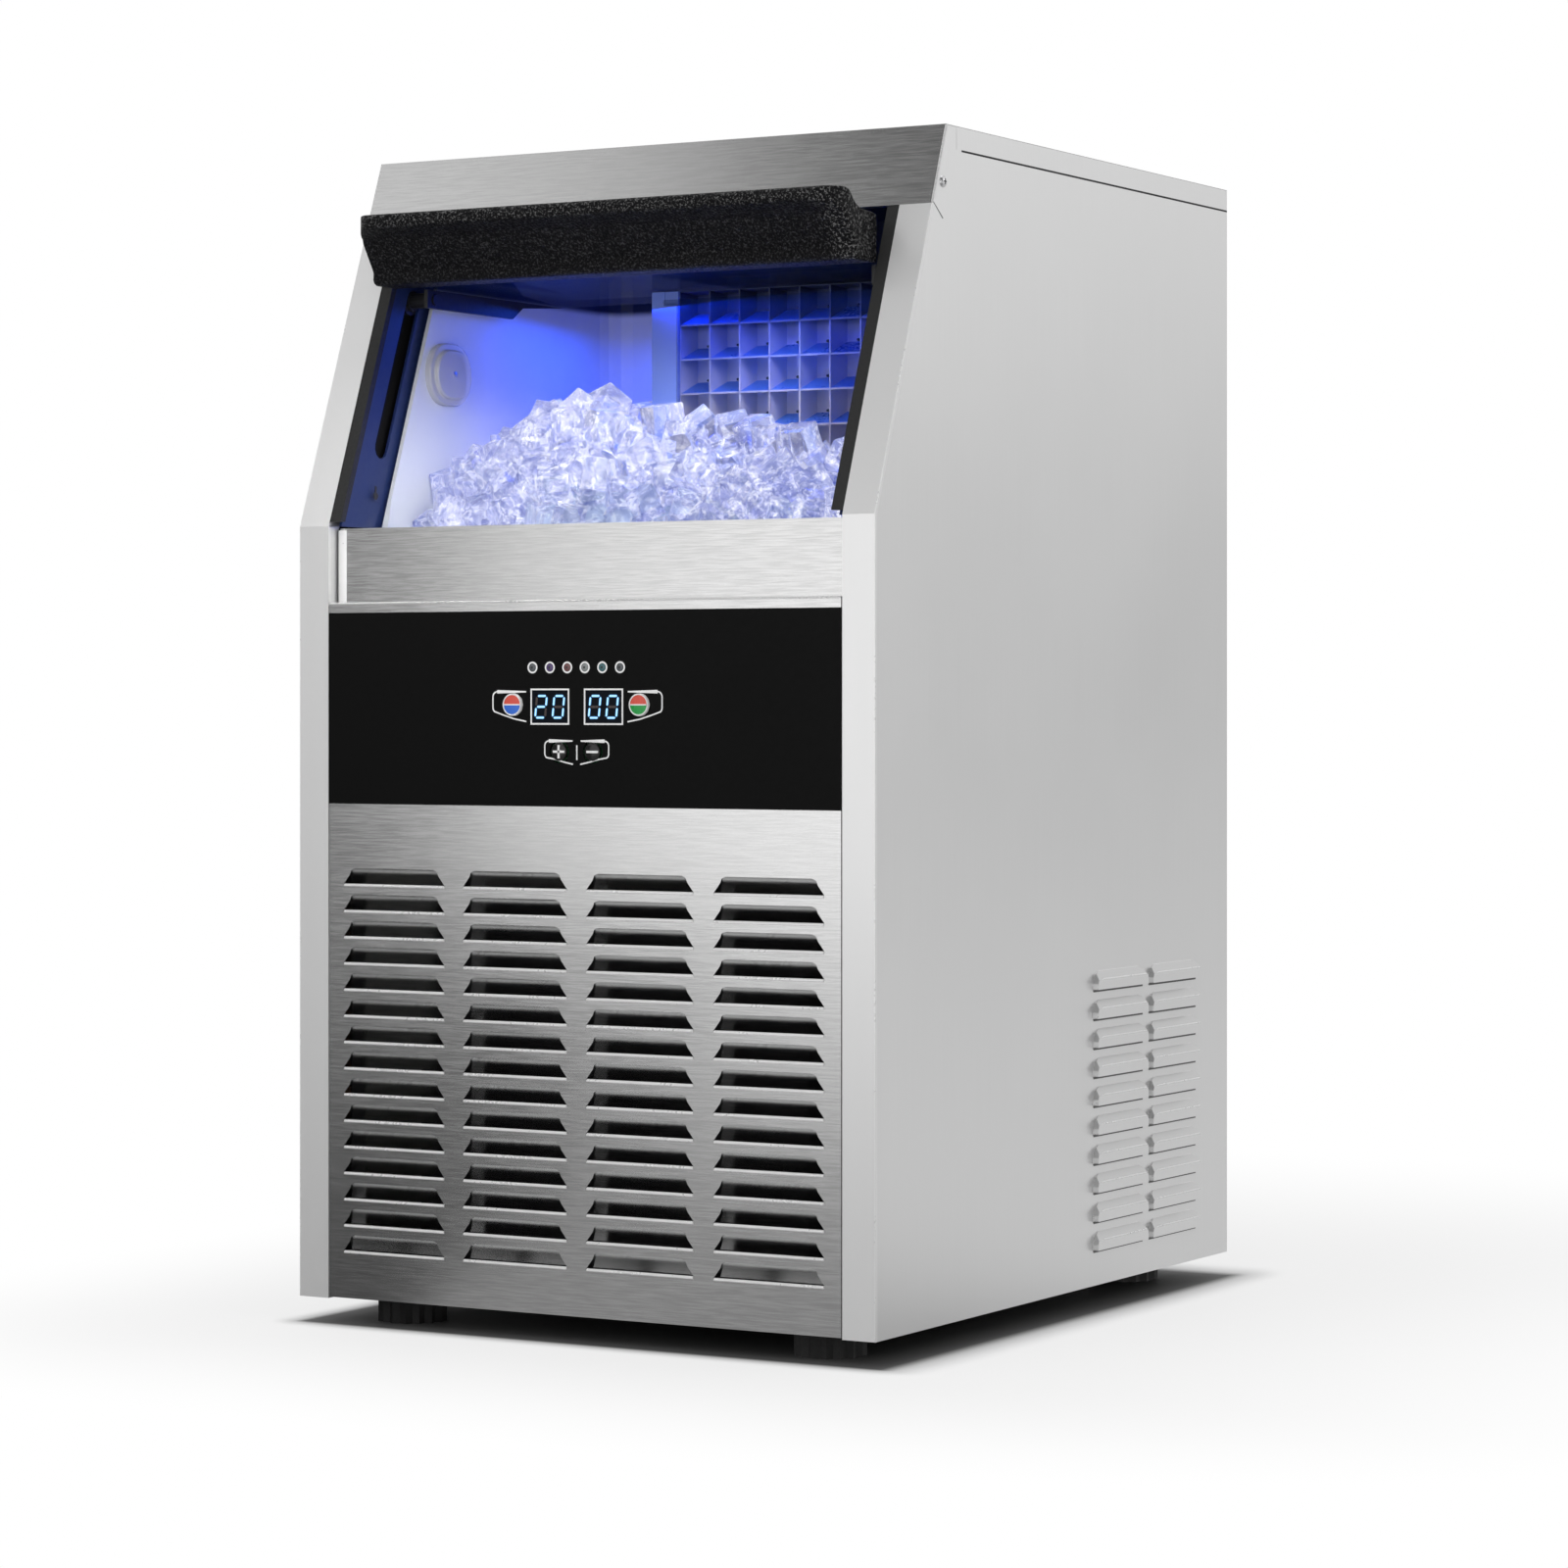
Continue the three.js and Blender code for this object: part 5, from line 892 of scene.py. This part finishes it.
ROUND_NODES = (
    "foot_front_left", "foot_front_right", "foot_rear_left", "foot_rear_right", "compressor", "fan_motor",
    "fan_blade", "liquid_line", "suction_line", "discharge_line", "evaporator_coil", "water_pump",
    "water_inlet_valve", "drain_outlet", "level_probe", "light_lens", "door_runner_left",
    "door_runner_right", "water_distributor", "fan_shroud",
)
shade_smooth = smooth_group()
for node in ROUND_NODES:
    nodes[node].modifiers.new("smooth", "NODES").node_group = shade_smooth
    split_edges(nodes[node], 35)


def side_screws():
    """The screw high on each side sheet, its cross, and the relief slit beside it."""
    x, y, z = SIDE, FRONT + 0.092, 0.7658
    head = [(0.00001, x + 0.0019), (0.0012, x + 0.00185), (0.0024, x + 0.0016), (0.0034, x + 0.0010),
            (0.0039, x + 0.0003), (0.0040, x)]
    slit = [(FRONT + 0.0785, 0.7513), (FRONT + 0.0795, 0.7513), (FRONT + 0.0925, 0.7420),
            (FRONT + 0.0918, 0.7414)]
    for side, name in SIDES:
        add_piece(f"side_screw_{name}", turned_x(head, side, y, z), "screw", smooth=60)
        cross = [side_slab(around(y, z, wide, high), side * (x + 0.00195), side * (x + 0.0012))
                 for wide, high in ((0.0018, 0.0004), (0.0004, 0.0018))]
        add_piece(f"side_screw_cross_{name}", gather(cross), "black")
        add_piece(f"relief_slit_{name}", side_slab(slit, side * (x + 0.00006), side * (x - 0.0002)), "black")


def rod(points, radius, sides=8):
    """A closed bead along a bent line."""
    verts, faces = [], []
    p = [Vector(q) for q in points]
    sideways = Vector((1, 0, 0))
    for k, here in enumerate(p):
        ahead = (p[min(k + 1, len(p) - 1)] - p[max(k - 1, 0)]).normalized()
        across = ahead.cross(sideways).normalized()
        for s in range(sides):
            a = 2 * math.pi * s / sides
            verts.append(here + sideways * radius * math.cos(a) + across * radius * math.sin(a))
    for k in range(len(points) - 1):
        for s in range(sides):
            t = (s + 1) % sides
            faces.append((k * sides + s, k * sides + t, (k + 1) * sides + t, (k + 1) * sides + s))
    faces += [tuple(range(sides)), tuple(range(len(verts) - 1, len(verts) - sides - 1, -1))]
    return verts, faces


def casing_edges():
    """Rolled corners of the casing and fascia ends with a painted highlight, the open seam under the lid's
    flange, and the lid's top roll in painted shade.
    """
    bend_y, bend_z = FRONT + 0.0776, 0.7512
    seam = rectangle(-0.1600, 0.78775, BACK - 0.0001, 0.78905)
    for side, name in SIDES:
        x = side * (SIDE - 0.00048)
        # Painted highlight: pale beads down the rolled front corners and the fascia ends
        corner = [(x, FRONT + 0.00048, 0.020), (x, FRONT + 0.00048, MOUTH_Z), (x, FRONT + 0.0774, 0.7505)]
        add_piece(f"corner_roll_{name}", rod(corner, 0.00056), "edge", smooth=50)
        upper = [(x, bend_y, bend_z), (x, bend_y + 0.0195, TOP - 0.0008)]
        add_piece(f"fascia_end_roll_{name}", rod(upper, 0.0005), "edge", smooth=50)
        strip = side_slab(seam, side * (SIDE + 0.00006), side * (SIDE - 0.0002))
        add_piece(f"lid_seam_{name}", strip, "seam")
        # Painted shade: a dark bead along the lid's top roll
        x, z = side * (SIDE - 0.00032), TOP - 0.00038
        top = [(x, FRONT + 0.098, z), (x, BACK - 0.0005, z)]
        add_piece(f"lid_roll_{name}", rod(top, 0.00036), "edge_dark", smooth=50)


def side_louvre_edges():
    """On every side louvre: a painted highlight along the bend and on the front end, and a painted shadow
    under the open edge.
    """
    length, column_pitch, row_pitch = 0.0815, 0.08985, 0.0202
    for side, name in SIDES:
        bright, dark = [], []
        x = side * (SIDE + 0.0039)
        for column in range(2):
            near = 0.127 - column_pitch * column
            far = near + length
            for row in range(10):
                z = 0.0428 + row_pitch * row
                # Painted highlight: pale beads along the bend and a pale plate over each front end
                bend = (x, near + 0.0085, z + 0.0073)
                bright.append(rod([bend, (x, far - 0.0025, z + 0.0073)], 0.00052, 6))
                corner = [(x, near + 0.0028, z + 0.0046), (x, near + 0.0048, z + 0.0062), bend]
                bright.append(rod(corner, 0.00042, 6))
                end = [(near + 0.0022, z + 0.0006), (near + 0.0022, z + 0.0044), (near - 0.0004, z + 0.0036),
                       (near - 0.0004, z + 0.0006)]
                bright.append(side_slab(end, side * (SIDE + 0.00435), side * (SIDE + 0.0001)))
                # Painted shadow: a dark strip on the sheet just under each louvre's open edge
                gap = [(near + 0.001, z - 0.0019), (far - 0.001, z - 0.0019), (far - 0.0004, z - 0.0003),
                       (near, z - 0.0003)]
                dark.append(side_slab(gap, side * (SIDE + 0.00008), side * (SIDE - 0.0002)))
        add_piece(f"side_louvre_painted_highlights_{name}", gather(bright), "edge", smooth=50)
        add_piece(f"side_louvre_painted_shadows_{name}", gather(dark), "under")


def lock_slot():
    """Keyhole slot low in the left jamb, where the door's stay hooks in."""
    x, y, z = -0.1923, FRONT + 0.0437, 0.5693
    outline = arc(y, z - 0.0018, 0.0026, 110, 430, 16)
    outline += [(y + 0.0012, z + 0.0044), (y + 0.0004, z + 0.0052), (y - 0.0006, z + 0.0050)]
    add_piece("jamb_keyhole", side_slab(outline, x + 0.00008, x - 0.0004), "seam")


def louvre_lips():
    """Rolled lower lip of every front louvre, in pale, less metallic steel that paints the highlight of the
    light from above.
    """
    column_pitch, row_pitch, half, top_row = 0.0978, 0.01786, 0.0409, 0.3012
    section = [(0.0002, -0.0016), (-0.00045, -0.0014), (-0.0007, -0.0008), (-0.0004, -0.0001),
               (0.0006, 0.0004), (0.0012, -0.0004)]
    parts = []
    for column in range(4):
        x = (column - 1.5) * column_pitch
        for row in range(15):
            z = top_row - row * row_pitch
            parts.append(side_slab([(FRONT + out, z + up) for out, up in section], x - half, x + half))
    add_piece("louvre_lips", gather(parts), "lip_steel", smooth=50)


def sheet_folds():
    """Folded edges with a painted highlight: along the lower panel's top, and down the left end of the lip.
    """
    section = [(FRONT + 0.0003, 0.4916), (FRONT - 0.0003, 0.4920), (FRONT - 0.0004, 0.4926),
               (FRONT + 0.0001, 0.4931), (FRONT + 0.0010, 0.4932)]
    add_piece("panel_top_fold", side_slab(section, -0.2001, 0.2001), "lip_steel", smooth=50)
    left, right, y, bottom, top = -0.1995, -0.1925, FRONT + 0.0100, 0.4936, 0.5428
    fold = [(left, y + 0.0002), (left + 0.0002, y - 0.0006), (left + 0.0006, y - 0.0007),
            (right - 0.001, y - 0.0001), (right, y + 0.0001)]
    add_piece("lip_end_fold", upright(fold, bottom, top), "lip_steel", smooth=60)


side_screws()
casing_edges()
side_louvre_edges()
lock_slot()
lamp_cover()
louvre_lips()
sheet_folds()


def round_corners(points, radius):
    """Softens the corners of a closed outline by short curves."""
    out = []
    steps = 3
    for i, corner in enumerate(points):
        a, b, c = Vector(points[i - 1]), Vector(corner), Vector(points[(i + 1) % len(points)])
        r = min(radius, (a - b).length * 0.45, (c - b).length * 0.45)
        start, end = b + (a - b).normalized() * r, b + (c - b).normalized() * r
        for k in range(steps + 1):
            w = k / steps
            out.append(tuple(start * (1 - w) ** 2 + b * 2 * w * (1 - w) + end * w ** 2))
    return out


def temporary(name, solid):
    """An object with its faces turned outward, used to shape another and then removed."""
    mesh = new_mesh(name, *solid)
    bm = bmesh.new()
    bm.from_mesh(mesh)
    bmesh.ops.recalc_face_normals(bm, faces=bm.faces[:])
    bm.to_mesh(mesh)
    bm.free()
    return new_object(name, mesh)


def handle():
    """Grip of the door: rimmed moulding with a leaning front, rounded in plan at both ends."""
    front, rear, turn = FRONT + 0.0100, -0.2122, 0.019
    low, half = limits("door_handle")[0][2], limits("door_handle")[1][0]
    section = [(front + 0.002, 0.7582), (front, 0.7560), (front, 0.7490), (front + 0.006, 0.7458),
               (front + 0.013, 0.7425), (front + 0.0165, 0.7370), (front + 0.0275, 0.7205),
               (front + 0.0262, 0.7160), (front + 0.029, low), (rear, low), (rear, 0.7445),
               (front + 0.034, 0.7460), (front + 0.026, 0.7500), (front + 0.020, 0.7570),
               (front + 0.015, 0.7582)]
    bar = temporary("handle_bar", side_slab(round_corners(section, 0.0022), -half, half))
    plan = [(-half, rear + 0.001), *arc(-half + turn, front + turn, turn, 180, 270, 12),
            *arc(half - turn, front + turn, turn, 270, 360, 12), (half, rear + 0.001)]
    cutter = temporary("handle_plan", upright(plan, low - 0.002, 0.762))
    trim = bar.modifiers.new("plan", "BOOLEAN")
    trim.operation = "INTERSECT"
    trim.object = cutter
    skin = bar.modifiers.new("skin", "REMESH")
    skin.mode = "VOXEL"
    skin.voxel_size = 0.0013
    relax = bar.modifiers.new("relax", "SMOOTH")
    relax.factor = 0.5
    relax.iterations = 5
    shape = bpy.data.meshes.new_from_object(bar.evaluated_get(bpy.context.evaluated_depsgraph_get()))
    bpy.data.objects.remove(bar)
    bpy.data.objects.remove(cutter)
    shape.materials.clear()
    shape.materials.append(M["speckled"])
    for polygon in shape.polygons:
        polygon.use_smooth = True
    grip = new_object("door_grip", shape)
    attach(grip, "door")
    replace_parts(grip, "door_handle")


handle()


# Floor, light and camera

def pale_floor():
    """A pale floor that keeps the shadow near the feet, adds a painted shadow in its colour darkest under
    the casing, and turns into the white backdrop further out.
    """
    size = 14.0
    f = Finish("pale_floor", Roughness=0.6, Specular_IOR_Level=0.1)
    place = f.axes()

    def beyond(axis, sign, edge, weight):
        """How far a place is past one edge of the casing's footprint."""
        past = f.math("SUBTRACT", f.times(place[axis], float(sign)), edge)
        return f.times(f.math("MAXIMUM", past, 0.0), weight)

    aside = f.plus(beyond("X", 1, SIDE, 1.5), beyond("X", -1, SIDE, 2.4))
    before = f.plus(beyond("Y", 1, 0.265, 1.0), beyond("Y", -1, 0.272, 2.4))
    out = f.math("SQRT", f.plus(f.times(aside, aside), f.times(before, before)))
    # Painted shadow: the base colour is darkest under the casing and pales with distance from it
    f.color(f.span(out, -0.008, 0.022, 0.05, 0.86))     # darkest under the casing
    path = f.nodes.new("ShaderNodeLightPath").outputs
    # How much of the floor is plain white to the camera: none at the casing, all of it further out
    near = f.span(out, 0.0, 0.062, 0.0, 0.72)
    fade = f.times(near, f.span(out, 0.05, 0.90, 1.0, 1.39))
    share = f.plus(f.times(fade, path["Is Camera Ray"]), f.times(path["Is Glossy Ray"], 0.9))
    # How bright the steel sees the floor: bright ahead and far off, dim towards the left, pale behind
    ratio = f.math("DIVIDE", place["X"], f.math("MINIMUM", place["Y"], -0.05))
    toward = f.span(ratio, 0.44, 0.59, 1.5, 0.14)
    ahead = f.times(toward, f.span(out, 1.2, 7.7, 0.20, 0.90))
    mirrored_level = f.span(place["Y"], -0.25, 0.35, ahead, 0.70)
    level = f.plus(path["Is Camera Ray"], f.times(path["Is Glossy Ray"], mirrored_level))
    glow = f.nodes.new("ShaderNodeEmission")
    glow.inputs["Color"].default_value = (1, 1, 1, 1)
    f.links.new(level, glow.inputs["Strength"])
    blend = f.nodes.new("ShaderNodeMixShader")
    f.links.new(share, blend.inputs["Fac"])
    f.links.new(f.shader.outputs["BSDF"], blend.inputs[1])
    f.links.new(glow.outputs["Emission"], blend.inputs[2])
    f.links.new(blend.outputs["Shader"], f.nodes["Material Output"].inputs["Surface"])
    mesh = new_mesh("floor", [(x, y, 0) for x, y in rectangle(-size, -size, size, size)], [(0, 1, 2, 3)])
    mesh.materials.append(f.material)
    new_object("floor", mesh)


pale_floor()


def studio_world():
    """White to the camera; a soft room with a dim front and a pale rear to gloss, plain grey as light."""
    scene.world = bpy.data.worlds.new("studio")
    g = Graph(scene.world, "Generated")
    path = g.nodes.new("ShaderNodeLightPath").outputs
    direction = g.axes()
    back, up = direction["Y"], direction["Z"]
    pale = g.span(up, 0.0, 0.13, 0.40, 1.0)
    rear = g.span(back, -0.25, 0.55, 0.14, pale)
    lifted = g.span(up, 0.75, 0.97, 0.0, 0.3)
    room = g.math("MINIMUM", g.plus(rear, lifted), 0.9)
    glossy = g.times(room, path["Is Glossy Ray"])
    seen = g.math("MAXIMUM", path["Is Camera Ray"], path["Is Transmission Ray"])
    others = g.math("SUBTRACT", 1.0, g.math("MAXIMUM", seen, path["Is Glossy Ray"]))
    diffuse = g.times(others, g.span(up, 0.0, 0.6, 0.24, 0.46))
    background = g.nodes["Background"].inputs
    background["Color"].default_value = (1, 1, 1, 1)
    g.links.new(g.plus(g.plus(glossy, seen), diffuse), background["Strength"])


studio_world()


def softbox(name, place, aim, size, level, color=(1, 1, 1)):
    """A rectangular lamp that the camera doesn't see; level is how bright its face is, where 1 is white."""
    light = bpy.data.lights.new(name, "AREA")
    light.shape = "RECTANGLE"
    light.size, light.size_y = size
    light.energy = level * math.pi * size[0] * size[1]
    light.color = color
    o = new_object(name, light)
    o.location = place
    o.rotation_euler = (Vector(aim) - Vector(place)).to_track_quat("-Z", "Y").to_euler()
    o.visible_camera = False
    return o


front = softbox("front_light", (-0.04, -1.85, 1.02), (-0.04, 0.0, 1.02), (2.32, 1.57), 0.98)
roll = Euler((0, 0, math.radians(3))).to_quaternion()
front.rotation_euler = (front.rotation_euler.to_quaternion() @ roll).to_euler()
softbox("left_high_light", (-1.9, -1.65, 2.25), (-0.1, -0.1, 0.7), (1.0, 1.2), 0.72)
softbox("side_light", (2.4, 1.2, 1.3), (0.2, 0, 0.5), (1.2, 1.6), 1.0)
softbox("top_light", (0.1, 0.1, 2.6), (0, 0, 0.4), (1.6, 1.6), 1.1)
softbox("right_front_light", (2.1, -1.7, 1.3), (0.2, -0.2, 0.6), (0.5, 0.9), 1.8)

BIN_BLUE = (0.012, 0.085, 1.0)
MOUTH_WHITE = (1.0, 0.98, 0.97)
softbox("bin_left_lamp", (-0.115, -0.03, 0.704), (-0.115, -0.05, 0.4), (0.11, 0.13), 4.6, BIN_BLUE)
softbox("bin_right_lamp", (0.05, -0.128, 0.702), (0.06, -0.100, 0.55), (0.22, 0.025), 7.0, BIN_BLUE)
mouth_place, mouth_aim = (0.02, -0.2420, 0.6980), (-0.06, -0.190, 0.54)
mouth = softbox("bin_mouth_lamp", mouth_place, mouth_aim, (0.26, 0.030), 11.5, MOUTH_WHITE)
mouth.data.spread = math.radians(100)

camera_data = bpy.data.cameras.new("camera")
camera_data.lens = 103.0
camera_data.shift_y = -0.055
camera = new_object("camera", camera_data)
camera.location = (1.5973, FRONT - 2.5028, 0.4282)
camera.rotation_euler = Euler((math.radians(90), 0, math.radians(29.9)))
scene.camera = camera
scene.view_settings.view_transform = "Standard"
